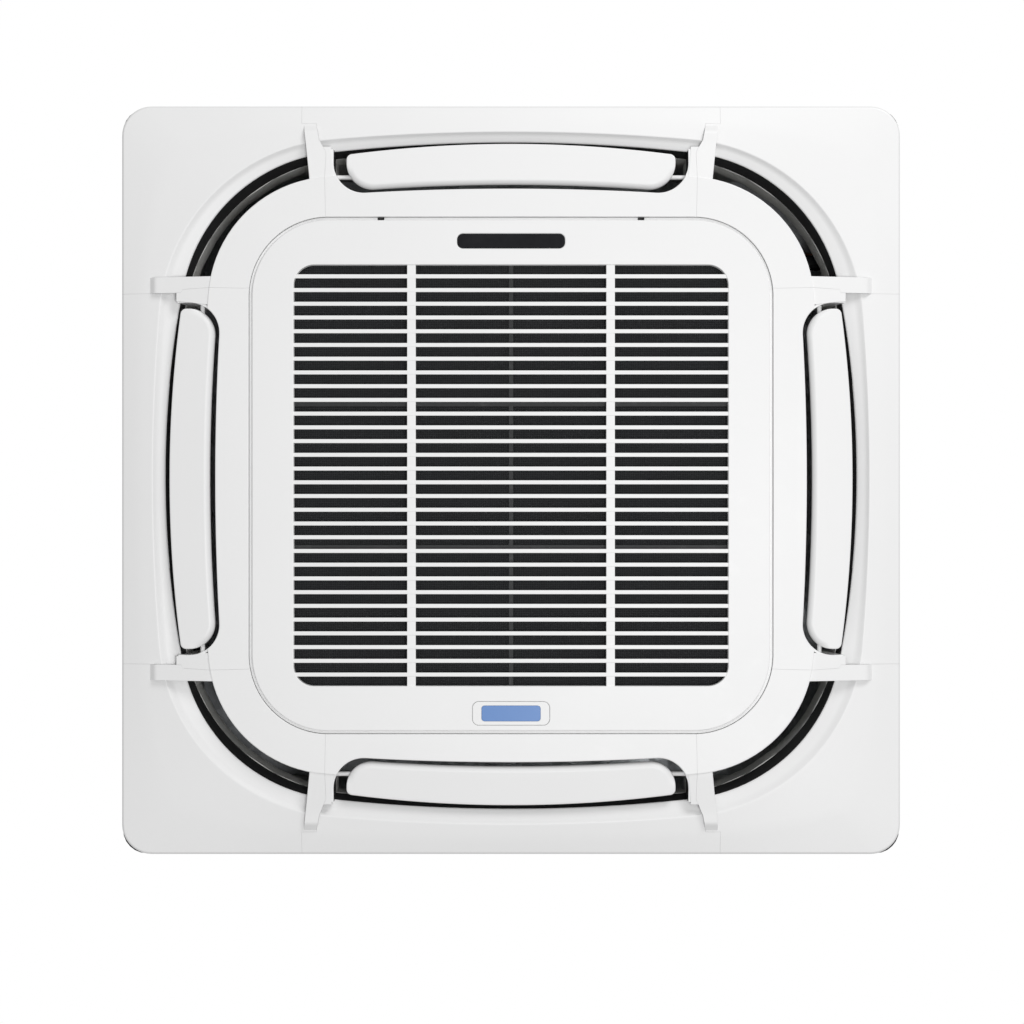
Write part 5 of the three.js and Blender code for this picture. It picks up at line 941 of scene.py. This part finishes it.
def corner_slot_plan(corner, shrink):
    """The room of a corner's curved slot, between its two bridge bars."""
    sx, sy, y_side, x_side = sides_of(corner)
    y_bar, x_bar = y_side.bar, x_side.bar
    return corner_plan(sx, sy, [
        [y_bar["block_outer"] + shrink, y_side.panel_half],
        [y_bar["block_outer"] + shrink, y_side.crest_at + y_side.block],
        [y_bar["ring_outer"] + shrink, y_side.ring_at - 10],
        [y_bar["ring_outer"] + shrink, x_bar["ring_outer"] + shrink + 20],
        [y_bar["ring_outer"] + shrink + 20, x_bar["ring_outer"] + shrink],
        [x_side.ring_at - 10, x_bar["ring_outer"] + shrink],
        [x_side.crest_at + x_side.block, x_bar["block_outer"] + shrink],
        [x_side.panel_half, x_bar["block_outer"] + shrink], [x_side.panel_half, y_side.panel_half]])


# ---------------------------------------------------------------- panel mouldings
def frame_shell():
    """The outer frame, its groove and the leaning duct wall, as one rounded band."""
    edge, crest, lip = PANEL.loop(), FRAME_EDGE.loop(), DUCT_LIP.loop()
    steep = crest + (lip - crest) * (GROOVE_STEEP / (GROOVE_X + GROOVE_STEEP))
    rim, inside = PANEL.grown(-2).loop(), PANEL.grown(-SKIN).loop()
    steep_back = FRAME_EDGE.grown(SKIN).loop() * 0.7 + DUCT_LIP.grown(SKIN).loop() * 0.3
    rows = [at(edge, BACK), at(edge, EDGE + 2.5), at(rim, EDGE),
            at((rim + crest) / 2, (EDGE + CREST) / 2 - 0.8), at(crest, CREST), at(steep, GROOVE),
            at(lip, LIP), at(DUCT_WALL.loop(), DUCT_TOP),
            at(DUCT_WALL.grown(SKIN).loop(), DUCT_TOP), at(DUCT_LIP.grown(SKIN).loop(), LIP + SKIN),
            at(steep_back, GROOVE + SKIN), at(FRAME_EDGE.grown(0.7).loop(), CREST + SKIN + 0.6),
            at(inside, EDGE + SKIN + 0.4), at(inside, BACK)]
    radii = [0, 1.3, 1.5, 8, 1.3, 3.2, 1.6, 0, 0, 0, 0, 0, 0, 0]
    return band(fillet(rows, radii))


def ring_plate():
    """The ring's face, from the slots to the grille."""
    edge, inner = RING_EDGE.loop(), RECESS.loop()
    rows = [at(edge, RING_BACK), at(edge, RING_FACE), at(inner, RING_FACE), at(inner, RING_BACK)]
    return band(fillet(rows, [0, 1.5, 1.1, 0]))


def hoop(inner, outer, z0, z1):
    """An upright band between two outlines."""
    a, b = inner.loop(), outer.loop()
    return band([at(b, z0), at(a, z0), at(a, z1), at(b, z1)])


def duct_room():
    """The air's room inside the duct wall."""
    low = DUCT_LIP.grown(SKIN / 2).loop()
    return plug([at(low, RING_FACE - 5), at(low, LIP), at(DUCT_WALL.grown(SKIN / 2).loop(), DUCT_TOP)])


def above_face(side):
    """The room behind the faces of a side's ring and bars."""
    end, block_face, crest, ring_side, _ = side.bar_face()
    inner, reach = side.slot_edge - 60, side.slot_half + 60
    section = [[inner, DUCT_TOP], [inner, RING_FACE + 1], [side.ring_at - SKIN, RING_FACE + 1],
               *[[v, z + 1] for v, z in (ring_side, crest, block_face)], [end[0] + 10, DUCT_TOP]]
    return sweep(section, -reach, reach)


def bar_solids(side, plan):
    """A bridge bar at each end of a side, with rounded edges."""
    face = side.bar_face()
    back = [[v, z + (1.2 if i == 0 else SKIN)] for i, (v, z) in enumerate(face)][::-1]
    section = softened(face + back, [0, 3, 5, 4, 0, 0, 0, 0, 0, 0], 4)
    bars = []
    for sign in (1, -1):
        column = prism([[sign * u, v] for u, v in plan], RING_FACE - 20, DUCT_TOP + 20)
        bar = overlap(sweep(section, -side.panel_half, side.panel_half), column)
        bars.append(side.place(bevelled(bar, 0.7, 2, 50)))
    return bars


def corner_bars(side):
    bar, end, room = side.bar, side.crest_at + side.block, side.ring_at - SKIN * 2
    return bar_solids(side, [
        [bar["block_outer"], end + 5], [bar["block_outer"], end - 2], [bar["ring_outer"], room],
        [bar["seam_ring"] - 20, room], [bar["seam_groove"] - 20, side.lip_at + GROOVE_STEEP],
        [bar["seam_frame"] - 1, side.crest_at - 1], [bar["seam_block"] - 1, end + 5]])


def side_bars(side):
    bar, room = side.bar, side.ring_at - SKIN * 2
    return bar_solids(side, [
        [bar["seam_groove"] + 20, side.lip_at + GROOVE_STEEP], [bar["seam_ring"] + 20, room],
        [bar["inner_ring"], room], [bar["inner"], side.lip_at], [bar["inner"], side.lip_at + GROOVE_STEEP]])


def slot_cutter(side):
    """The slot's room, flared so that its edge on the ring is rounded."""
    rows = [at(slot_outline(side, SLOT_FLARE), RING_FACE - 20),
            *quarter_round(lambda grow: slot_outline(side, grow), SLOT_FLARE, RING_FACE),
            at(slot_outline(side, 0), DUCT_TOP + 5)]
    return side.place(plug(rows))


def shaft_holes():
    holes = []
    for side in SIDES:
        reach = side.slot_half + 20
        hole = rod(SHAFT_RADIUS + SHAFT_ROOM, 2 * reach, -reach, side.vane_inner + SHAFT_INSET, SHAFT_Z)
        holes.append(side.place(hole))
    return holes


def corner_base(corner):
    """Hidden plate and ribs that carry a corner cover."""
    sx, sy, y_side, x_side = sides_of(corner)
    reach, margin = 11, SKIN + SEAM
    uy = y_side.bar["seam_groove"] - reach
    ux = x_side.bar["edge_seam"] - reach + sy * SIDE_SLOT_SHIFT
    inner, lift = FRAME_EDGE.grown(5), sy * CREST_SHIFT
    quarter = inner.quarter()
    angles = np.degrees(np.arctan2(quarter[:, 1], quarter[:, 0]))
    bend = [p for p, a in zip(quarter[::-1], angles[::-1]) if 30 <= a <= 57]
    right, top = PANEL_HALF_X - margin, y_side.panel_half - margin
    outer = arc((right - PANEL_CORNER, top - PANEL_CORNER), PANEL_CORNER, 0, math.pi / 2, 10)
    outline = [[inner.half_x - 2, ux], [right, ux], *outer, [uy, top], [uy, inner.half_y - 2 + lift],
               *[[x, y + lift] for x, y in bend]]
    parts = [prism([[sx * x, sy * y] for x, y in outline], BACK - SKIN, BACK)]
    for side, u, flip in ((y_side, uy, False), (x_side, ux, True)):
        v0, v1 = side.crest_at + 14, side.panel_half - margin + 1
        rib = sweep([[v0, BACK - 1], [v0, side.frame_face_at(v0) + 1], [v1, side.frame_face_at(v1) + 1],
                     [v1, BACK - 1]], u, u + SKIN)
        if flip:
            rib.data.transform(SWAP_X_Y)
        rib.data.transform(Matrix.Diagonal((sx, sy, 1, 1)))
        parts.append(outwards(rib))
    return parts


def outwards(obj):
    """Turns a mirrored body's faces outwards again."""
    work = bmesh.new()
    work.from_mesh(obj.data)
    bmesh.ops.recalc_face_normals(work, faces=work.faces)
    work.to_mesh(obj.data)
    work.free()
    return obj


def ring_base(corner):
    """Hidden plate above a corner cover's part of the ring."""
    width, reach, low = 24, 14, RING_BACK + SEAM
    outer = rounded_plan(RECESS.half_x + width, RECESS.half_y + width, RECESS.corner + width, steps=16)
    inner = RECESS.grown(SKIN * 0.8)
    hole = rounded_plan(inner.half_x, inner.half_y, inner.corner, steps=16)
    plate = overlap(cut(prism(outer, low, low + SKIN), prism(hole, low - 1, low + SKIN + 1)),
                    corner_column(corner, -reach))
    foot = copied(plate)
    foot.data.transform(Matrix.Translation((0, 0, (-SEAM - 1) * MM)))
    return [plate, cut(foot, corner_column(corner, -SEAM / 2 - 1))]


def build_panel(seam):
    shell, ring, room = frame_shell(), ring_plate(), duct_room()
    slots = [slot_cutter(side) for side in SIDES]
    collars = []
    for side in SIDES:
        collar = side.place(prism(slot_outline(side, SKIN), RING_FACE, DUCT_TOP))
        collars.append(overlap(overlap(collar, side.place(above_face(side))), room, keep=True))
    bars = [bar for side in SIDES for bar in side_bars(side)]
    sides = cut(join(copied(ring), *collars, *bars), *slots)
    sides = join(sides, copied(shell))
    cut(sides, *[corner_column(corner, -seam / 2) for corner in CORNERS])
    outer = RECESS.grown(SKIN)
    low = cut(hoop(RECESS, outer, RING_FACE + 1, RING_BACK + SEAM + 1),
              *[corner_column(corner, -SEAM / 2) for corner in CORNERS])
    join(sides, hoop(RECESS, outer, RING_BACK + SEAM, RECESS_TOP), low,
         *[part for corner in CORNERS for part in corner_base(corner) + ring_base(corner)])
    cut(sides, *shaft_holes())
    fixed(panel_place(marked_with_duct_shade(sides)), "panel_frame_moulding", "unit", "panel_white", "panel_frame",
          slot="white_plastic")

    whole = join(shell, ring, *[bar for side in SIDES for bar in corner_bars(side)])
    ring_wall = hoop(RING_EDGE.grown(-SKIN), RING_EDGE, RING_FACE + 1, DUCT_TOP)
    ring_room = RING_EDGE.grown(-SKIN / 2).loop()
    for corner in CORNERS:
        zone = prism(corner_slot_plan(corner, -SKIN), RING_FACE - 20, DUCT_TOP + 5)
        inner_room = prism(corner_slot_plan(corner, 0), RING_FACE - 20, DUCT_TOP + 5)
        wall = overlap(copied(ring_wall), zone, keep=True)
        webs = cut(overlap(zone, room, keep=True), inner_room, prism(ring_room, LOWEST, HIGHEST))
        overlap(webs, join(*[side.place(above_face(side)) for side in SIDES]))
        cover = join(copied(whole), wall, webs)
        overlap(cover, corner_column(corner, seam / 2))
        cut(cover, *shaft_holes())
        name = "corner_cover_" + corner[0]
        fixed(panel_place(marked_with_duct_shade(cover)), name + "_moulding", "unit", "panel_white", name,
              slot="white_plastic")
    discard(whole, ring_wall, room)


# ---------------------------------------------------------------- louvers
def louver_solid(side, thickness, tilt):
    """A blade with rounded rim and a rolled inner lip, its ears and its shafts."""
    inner, outer = side.vane_inner, side.vane_outer
    width = outer - inner
    inner_round = LOUVER_CORNER_SHARE * width

    def outline(inset):
        return vane_outline(side.vane_half - inset, inner + inset, LOUVER_INNER_BOW + inset,
                            inner_round - inset, outer - inset, LOUVER_OUTER_BOW - inset,
                            LOUVER_OUTER_CORNER - min(inset, 5))

    edge = outline(0)[:, 1]
    middle = (edge.min() + edge.max()) / 2
    inwards = np.clip((middle + 2 - edge) / 14, 0, 1)
    inwards = inwards * inwards * (3 - 2 * inwards)

    def row(inset, lift=0.0):
        plan = outline(inset)
        slope = LOUVER_FACE + tilt * np.clip((plan[:, 1] - inner - 6) / (width - 6), 0, 1)
        curl = LOUVER_CURL * max(0.0, 1 - inset / LOUVER_CURL_WIDTH) ** 2
        return np.column_stack([plan, slope + inwards * curl + lift])

    rows = [row(inset) for inset in LOUVER_INSETS]
    rows += [row(LOUVER_EDGE * (1 - math.sin(turn)), thickness / 2 * (1 - math.cos(turn)))
             for turn in np.linspace(0, math.pi, 7)]
    rows += [row(inset, thickness) for inset in LOUVER_INSETS[::-1]]
    blade = plug(rows)
    v, root = inner + SHAFT_INSET, side.vane_half - 20
    wall = side.slot_half + SKIN + SEAM
    for sign in (1, -1):
        start = root - EAR_LENGTH if sign > 0 else -root
        turn = np.linspace(0, math.pi, 13)
        ear = [[v - EAR_WIDTH / 2, LOUVER_FACE + 1.2]]
        ear += [[v - EAR_WIDTH / 2 * math.cos(a), SHAFT_Z + EAR_WIDTH / 2 * math.sin(a)] for a in turn]
        ear += [[v + EAR_WIDTH / 2, LOUVER_FACE + 1.2]]
        web = sweep(ear, start, start + EAR_LENGTH)
        end = wall + (MOTOR_LENGTH / 2 if sign > 0 else CLIP_LENGTH)
        length = end - root + 4
        shaft = rod(SHAFT_RADIUS, length, root - 4 if sign > 0 else -end, v, SHAFT_Z, 32, 0.4)
        join(blade, bevelled(web, 0.6, 2, 50), shaft)
    return blade


def build_louvers(thickness, tilt):
    for side in SIDES:
        name = "louver_" + side.name
        blade = panel_place(side.place(louver_solid(side, thickness, tilt)))
        fixed(blade, name + "_blade", name, "white_plastic", name, angle=40)


# ---------------------------------------------------------------- grille
def grille_plate():
    """The grille's face with its outer rim and the wall round its opening."""
    outer, inner = GRILLE.loop(), INTAKE.loop()
    inner_back, outer_back = INTAKE.grown(GRILLE_SKIN).loop(), GRILLE.grown(-GRILLE_SKIN).loop()
    rows = [at(outer, RIM_TOP), at(outer, GRILLE_FACE), at(inner, GRILLE_FACE), at(inner, WALL_TOP),
            at(inner_back, WALL_TOP), at(inner_back, GRILLE_BACK), at(outer_back, GRILLE_BACK),
            at(outer_back, RIM_TOP)]
    return band(fillet(rows, [0.5, 1.4, 1.0, 0.3, 0.3, 0.6, 0.8, 0.5]))


def rounded_hole(half_x, half_y, corner, y, flare):
    """A cutter with a flared mouth on the grille's face."""
    def plan(grow):
        return rounded_plan(half_x + grow, half_y + grow, corner + grow, y)

    return plug([at(plan(flare), GRILLE_FACE - 3), *quarter_round(plan, flare, GRILLE_FACE),
                 at(plan(0), GRILLE_BACK + 3)])


def slat_rows(pitch, thickness, depth):
    """Slats across the opening and the two uprights behind their faces, as repeated units."""
    low, half = GRILLE_FACE + SLAT_RECESS, thickness / 2
    count = int((2 * INTAKE_Y - thickness) // pitch)
    reach = INTAKE_X + 1
    section = softened([[-half, low], [half, low], [half - 1, low + depth], [1 - half, low + depth]],
                       [0.9, 0.9, 0.5, 0.5], 3)
    slats = repeated(sweep(section, -reach, reach), count, (0, -(count - 1) * pitch / 2, 0), (0, pitch, 0))
    wide, bottom, top = UPRIGHT_WIDTH / 2, low + 0.4, low + depth - 0.4
    upright = softened([[-wide, bottom], [wide, bottom], [wide, top], [-wide, top]], [0.7, 0.7, 0.4, 0.4], 3)
    post = sweep(upright, -INTAKE_Y - 1, INTAKE_Y + 1)
    post.data.transform(Matrix.Rotation(math.radians(-90), 4, 'Z'))
    posts = repeated(post, 2, (-UPRIGHT_OFFSET, 0, 0), (2 * UPRIGHT_OFFSET, 0, 0))
    return slats, posts


def build_grille(pitch, thickness, depth):
    plate = grille_plate()
    ledge_low = GRILLE_FACE + LEDGE_RISE
    ledge = hoop(GRILLE.grown(-1), GRILLE.grown(GRILLE_LEDGE), ledge_low, ledge_low + LEDGE_THICKNESS)
    half, reach = HOOK_WIDTH / 2 + CHEEK_GAP, HOOK_THICKNESS / 2 + HOOK_PLAY
    cheeks, notches, bores = [], [], []
    for x in (-HINGE_OFFSET, HINGE_OFFSET):
        notches.append(block(x - half, x + half, -GRILLE_HALF_Y - GRILLE_LEDGE - 2, HINGE_Y + reach + 0.3,
                             HINGE_Z - reach, RIM_TOP + 2))
        for x0 in (x + half, x - half - CHEEK_THICKNESS):
            cheeks.append(block(x0, x0 + CHEEK_THICKNESS, -GRILLE_HALF_Y + GRILLE_SKIN - 1,
                                HINGE_Y + HINGE_INSET, GRILLE_BACK - 1, HINGE_Z + HINGE_INSET))
        bore = HINGE_PIN_LENGTH / 2 + 1
        bores.append(rod(HINGE_PIN_RADIUS + HINGE_PLAY, 2 * bore, x - bore, HINGE_Y, HINGE_Z, 24))
    seat_low = FLANGE_TOP + SPRING_LENGTH + 2 * TOUCH
    seat = block(SPRING_OFFSET - SPRING_ROOM, SPRING_OFFSET + SPRING_ROOM, BUTTON_OFFSET - SPRING_ROOM,
                 GRILLE_HALF_Y - 1, seat_low, seat_low + SPRING_SEAT)
    corners = block(-INTAKE_X, INTAKE_X, -INTAKE_Y, INTAKE_Y, WALL_TOP - WALL_NOTCH, WALL_TOP + 5)
    cut(join(plate, ledge), *notches, corners)
    join(plate, bevelled(seat, 0.4), *cheeks)
    cut(plate, rounded_hole(DISPLAY_LENGTH / 2, DISPLAY_WIDTH / 2, DISPLAY_CORNER, -DISPLAY_OFFSET, 1.6),
        rounded_hole(BUTTON_LENGTH / 2, BUTTON_WIDTH / 2, BUTTON_CORNER, BUTTON_OFFSET, 0.6), *bores)
    grille = merged(plate, *slat_rows(pitch, thickness, depth))
    fixed(panel_place(grille), "intake_grille_moulding", "grille", "white_plastic", "intake_grille")


def rounded_pad(half_x, half_y, corner, edge, face, top, steps=5):
    """A flat pad whose face has a rounded edge."""
    def plan(grow):
        return rounded_plan(half_x - grow, half_y - grow, corner - grow)

    return plug([*quarter_round(plan, edge, face, steps), at(plan(0), top)])


def build_latch():
    low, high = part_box("latch_button")
    middle = Matrix.Translation((0, (low.y + high.y) / 2, 0))
    face, top = GRILLE_FACE + BUTTON_RECESS, high.z / MM
    button = rounded_pad(BUTTON_LENGTH / 2 - BUTTON_PLAY, BUTTON_WIDTH / 2 - BUTTON_PLAY,
                         BUTTON_CORNER - BUTTON_PLAY, BUTTON_ROUND, face, FLANGE_TOP, 6)
    flange = prism(rounded_plan(BUTTON_LENGTH / 2 + FLANGE_REACH, BUTTON_WIDTH / 2 + FLANGE_REACH,
                                BUTTON_CORNER), GRILLE_BACK + TOUCH, FLANGE_TOP)
    half, root = STRIKER_THICKNESS / 2, FLANGE_TOP - 0.5
    striker = sweep([[-half, root], [half, root], [half, top - 2], [1, top], [-1, top], [-half, top - 2]],
                    -STRIKER_WIDTH / 2, STRIKER_WIDTH / 2)
    join(button, flange, bevelled(striker, 0.4))
    cut(button, prism(rounded_plan(BADGE_LENGTH / 2 + TOUCH, BADGE_WIDTH / 2 + TOUCH, BADGE_CORNER + TOUCH),
                      face - 1, face + BADGE_THICKNESS))
    button.data.transform(middle)
    fixed(button, "latch_button_moulding", "button", "white_plastic", "latch_button")
    badge = rounded_pad(BADGE_LENGTH / 2, BADGE_WIDTH / 2, BADGE_CORNER, BADGE_ROUND, face,
                        face + BADGE_THICKNESS - TOUCH)
    badge.data.transform(middle)
    fixed(badge, "badge_plate_bare", "button", "blue_plastic", "badge_plate")


# ---------------------------------------------------------------- everything with plain edges
REFINED = {
    "hinge_hook_left": ("grey_plastic", 0.3), "hinge_hook_right": ("grey_plastic", 0.3),
    "latch_catch": ("grey_plastic", 0.4), "display_lens": ("black_gloss", 0.3),
    "receiver_board": ("circuit_board", 0.15), "filter_frame": ("dark_plastic", 0.6),
    "control_box": ("galvanised", 0.3), "control_box_lid": ("galvanised", 0.3),
    "control_board": ("circuit_board", 0.15), "terminal_block": ("black_rubber", 0.5),
    # the black seal is partly painted shadow, standing for the dark slivers at the panel's corners
    "coil_end_plate": ("galvanised", 0.2), "ceiling_seal": ("black_foam", 0.8),
    **{"hanger_bracket_" + corner[0]: ("galvanised", 0.5) for corner in CORNERS},
}


def build_refined():
    """Copies of plain solids with their edges rounded."""
    for node, (finish, width) in REFINED.items():
        piece = refined(node, width)
        fixed(piece, node + "_finished", body_of(node), finish, node, angle=35)


def build_kept():
    """Solids whose shape is right keep their mesh and get a better finish."""
    slots = {row["node"]: row["material_slot"] for row in frame["record"]["subparts"]}
    for node, obj in frame["nodes"].items():
        if obj.hide_render:
            continue
        obj.data.materials.clear()
        obj.data.materials.append(finish_of(slots[node]))


# ---------------------------------------------------------------- stage
def area_light(name, place, size, power):
    """A soft round light that faces the panel's middle."""
    data = bpy.data.lights.new(name, 'AREA')
    data.shape = 'DISK'
    data.size = size
    data.energy = power
    light = linked(name, data)
    light.location = place
    light.visible_camera = False
    light.rotation_euler = (-Vector(place)).to_track_quat('-Z', 'Y').to_euler()


def build_stage(look):
    scene = bpy.context.scene
    world = bpy.data.worlds.new("white_room")
    scene.world = world
    world.use_nodes = True
    world.node_tree.nodes.clear()
    graph = Graph(world.node_tree)
    seen = graph.out('ShaderNodeLightPath', output="Is Camera Ray")
    strength = seen * (1 - look.room_light) + look.room_light
    backdrop = graph.out('ShaderNodeBackground', {}, {"Color": (1, 1, 1, 1), "Strength": strength})
    graph.add('ShaderNodeOutputWorld', {}, {"Surface": backdrop})
    scene.view_settings.view_transform = 'Standard'
    half, top = FLOOR_HALF / MM, FLOOR_TOP / MM
    floor = block(-half, half, -half, half, top - FLOOR_THICKNESS / MM, top)
    floor.name = "studio_floor"
    material, graph = new_finish("pale_floor")
    speckle = graph.noise(30.0, 4.0, 0.6)
    tint = graph.blend(speckle, (0.87, 0.87, 0.87), (0.84, 0.84, 0.84))
    principled(graph, {"Base Color": tint, "Roughness": 0.9})
    floor.data.materials.append(material)
    area_light("key_light", KEY_LIGHT_PLACE, KEY_LIGHT_SIZE, look.key_light)
    area_light("front_light", FRONT_LIGHT_PLACE, FRONT_LIGHT_SIZE, look.front_light)
    camera = linked("camera", bpy.data.cameras.new("camera"))
    camera.data.lens, camera.data.sensor_width = CAMERA_LENS, CAMERA_SENSOR
    camera.location = CAMERA_PLACE
    camera.rotation_euler = (math.pi, 0, 0)
    camera.data.clip_end = 50
    scene.camera = camera


# ---------------------------------------------------------------- add-on
class CASSETTE_PG_sizes(bpy.types.PropertyGroup):
    seam: bpy.props.FloatProperty(
        name="Seam", description="Gap that shows between the panel's mouldings",
        subtype='DISTANCE', unit='LENGTH', min=0.0001, max=0.0006, default=0.00016)
    louver_thickness: bpy.props.FloatProperty(
        name="Louver thickness", description="Thickness of a louver's blade",
        subtype='DISTANCE', unit='LENGTH', min=0.002, max=0.003, default=0.0026)
    louver_tilt: bpy.props.FloatProperty(
        name="Louver tilt", description="How much higher a louver's outer edge lies than its inner edge",
        subtype='DISTANCE', unit='LENGTH', min=0, max=0.006, default=0.004)
    slat_pitch: bpy.props.FloatProperty(
        name="Slat pitch", description="Distance from one slat to the next",
        subtype='DISTANCE', unit='LENGTH', min=0.012, max=0.03, default=0.01664)
    slat_thickness: bpy.props.FloatProperty(
        name="Slat thickness", description="Thickness of a slat at its face",
        subtype='DISTANCE', unit='LENGTH', min=0.003, max=0.008, default=0.00503)
    slat_depth: bpy.props.FloatProperty(
        name="Slat depth", description="Depth of a slat behind its face",
        subtype='DISTANCE', unit='LENGTH', min=0.004, max=0.014, default=0.012)


class CASSETTE_PG_look(bpy.types.PropertyGroup):
    white: bpy.props.FloatVectorProperty(
        name="Panel white", description="Base colour of the white mouldings", subtype='COLOR', size=3,
        min=0, max=1, default=(0.94, 0.94, 0.94))
    white_roughness: bpy.props.FloatProperty(
        name="Panel roughness", description="Roughness of the white mouldings", subtype='FACTOR',
        min=0, max=1, default=0.42)
    badge: bpy.props.FloatVectorProperty(
        name="Badge blue", description="Base colour of the bare badge", subtype='COLOR', size=3,
        min=0, max=1, default=(0.1, 0.25, 0.6))


class CASSETTE_PG_stage(bpy.types.PropertyGroup):
    room_light: bpy.props.FloatProperty(
        name="Room light", description="Brightness of the white room", min=0, default=0.46)
    key_light: bpy.props.FloatProperty(
        name="Key light", description="Power of the soft light beyond the display side", unit='POWER', min=0,
        default=33.0)
    front_light: bpy.props.FloatProperty(
        name="Front light", description="Power of the soft light beside the camera", unit='POWER', min=0,
        default=27.0)


class CASSETTE_OT_panel(bpy.types.Operator):
    """Build the panel frame and its four corner covers"""
    bl_idname = "cassette.panel"
    bl_label = "Panel Mouldings"

    def execute(self, context):
        build_panel(context.scene.cassette_sizes.seam / MM)
        return {'FINISHED'}


class CASSETTE_OT_louvers(bpy.types.Operator):
    """Build the four swinging louvers"""
    bl_idname = "cassette.louvers"
    bl_label = "Louvers"

    def execute(self, context):
        sizes = context.scene.cassette_sizes
        build_louvers(sizes.louver_thickness / MM, sizes.louver_tilt / MM)
        return {'FINISHED'}


class CASSETTE_OT_grille(bpy.types.Operator):
    """Build the intake grille with its slats, its latch button and the bare badge"""
    bl_idname = "cassette.grille"
    bl_label = "Intake Grille"

    def execute(self, context):
        sizes = context.scene.cassette_sizes
        build_grille(sizes.slat_pitch / MM, sizes.slat_thickness / MM, sizes.slat_depth / MM)
        build_latch()
        return {'FINISHED'}


class CASSETTE_OT_fittings(bpy.types.Operator):
    """Round the edges of brackets, boxes, hooks and boards"""
    bl_idname = "cassette.fittings"
    bl_label = "Fittings"

    def execute(self, context):
        build_refined()
        return {'FINISHED'}


class CASSETTE_OT_finishes(bpy.types.Operator):
    """Give every solid that is kept as it is its own finish"""
    bl_idname = "cassette.finishes"
    bl_label = "Finishes"

    def execute(self, context):
        build_kept()
        return {'FINISHED'}


class CASSETTE_OT_stage(bpy.types.Operator):
    """Set the floor, the lights and the camera"""
    bl_idname = "cassette.stage"
    bl_label = "Stage"

    def execute(self, context):
        build_stage(context.scene.cassette_stage)
        return {'FINISHED'}


OPERATORS = (CASSETTE_OT_panel, CASSETTE_OT_louvers, CASSETTE_OT_grille, CASSETTE_OT_fittings,
             CASSETTE_OT_finishes, CASSETTE_OT_stage)


class CASSETTE_PT_sidebar(bpy.types.Panel):
    bl_idname = "CASSETTE_PT_sidebar"
    bl_label = "Cassette"
    bl_space_type = 'VIEW_3D'
    bl_region_type = 'UI'
    bl_category = "Cassette"

    def draw(self, context):
        scene = context.scene
        for group in (scene.cassette_sizes, scene.cassette_look, scene.cassette_stage):
            for name in group.__annotations__:
                self.layout.prop(group, name)
        for operator in OPERATORS:
            self.layout.operator(operator.bl_idname)


CLASSES = (CASSETTE_PG_sizes, CASSETTE_PG_look, CASSETTE_PG_stage, *OPERATORS, CASSETTE_PT_sidebar)


def register():
    for cls in CLASSES:
        bpy.utils.register_class(cls)
    bpy.types.Scene.cassette_sizes = bpy.props.PointerProperty(type=CASSETTE_PG_sizes)
    bpy.types.Scene.cassette_look = bpy.props.PointerProperty(type=CASSETTE_PG_look)
    bpy.types.Scene.cassette_stage = bpy.props.PointerProperty(type=CASSETTE_PG_stage)


def unregister():
    del bpy.types.Scene.cassette_sizes, bpy.types.Scene.cassette_look, bpy.types.Scene.cassette_stage
    for cls in reversed(CLASSES):
        bpy.utils.unregister_class(cls)


def main():
    register()
    for operator in OPERATORS:
        group, name = operator.bl_idname.split(".")
        getattr(getattr(bpy.ops, group), name)()


if __name__ == "__main__":
    main()
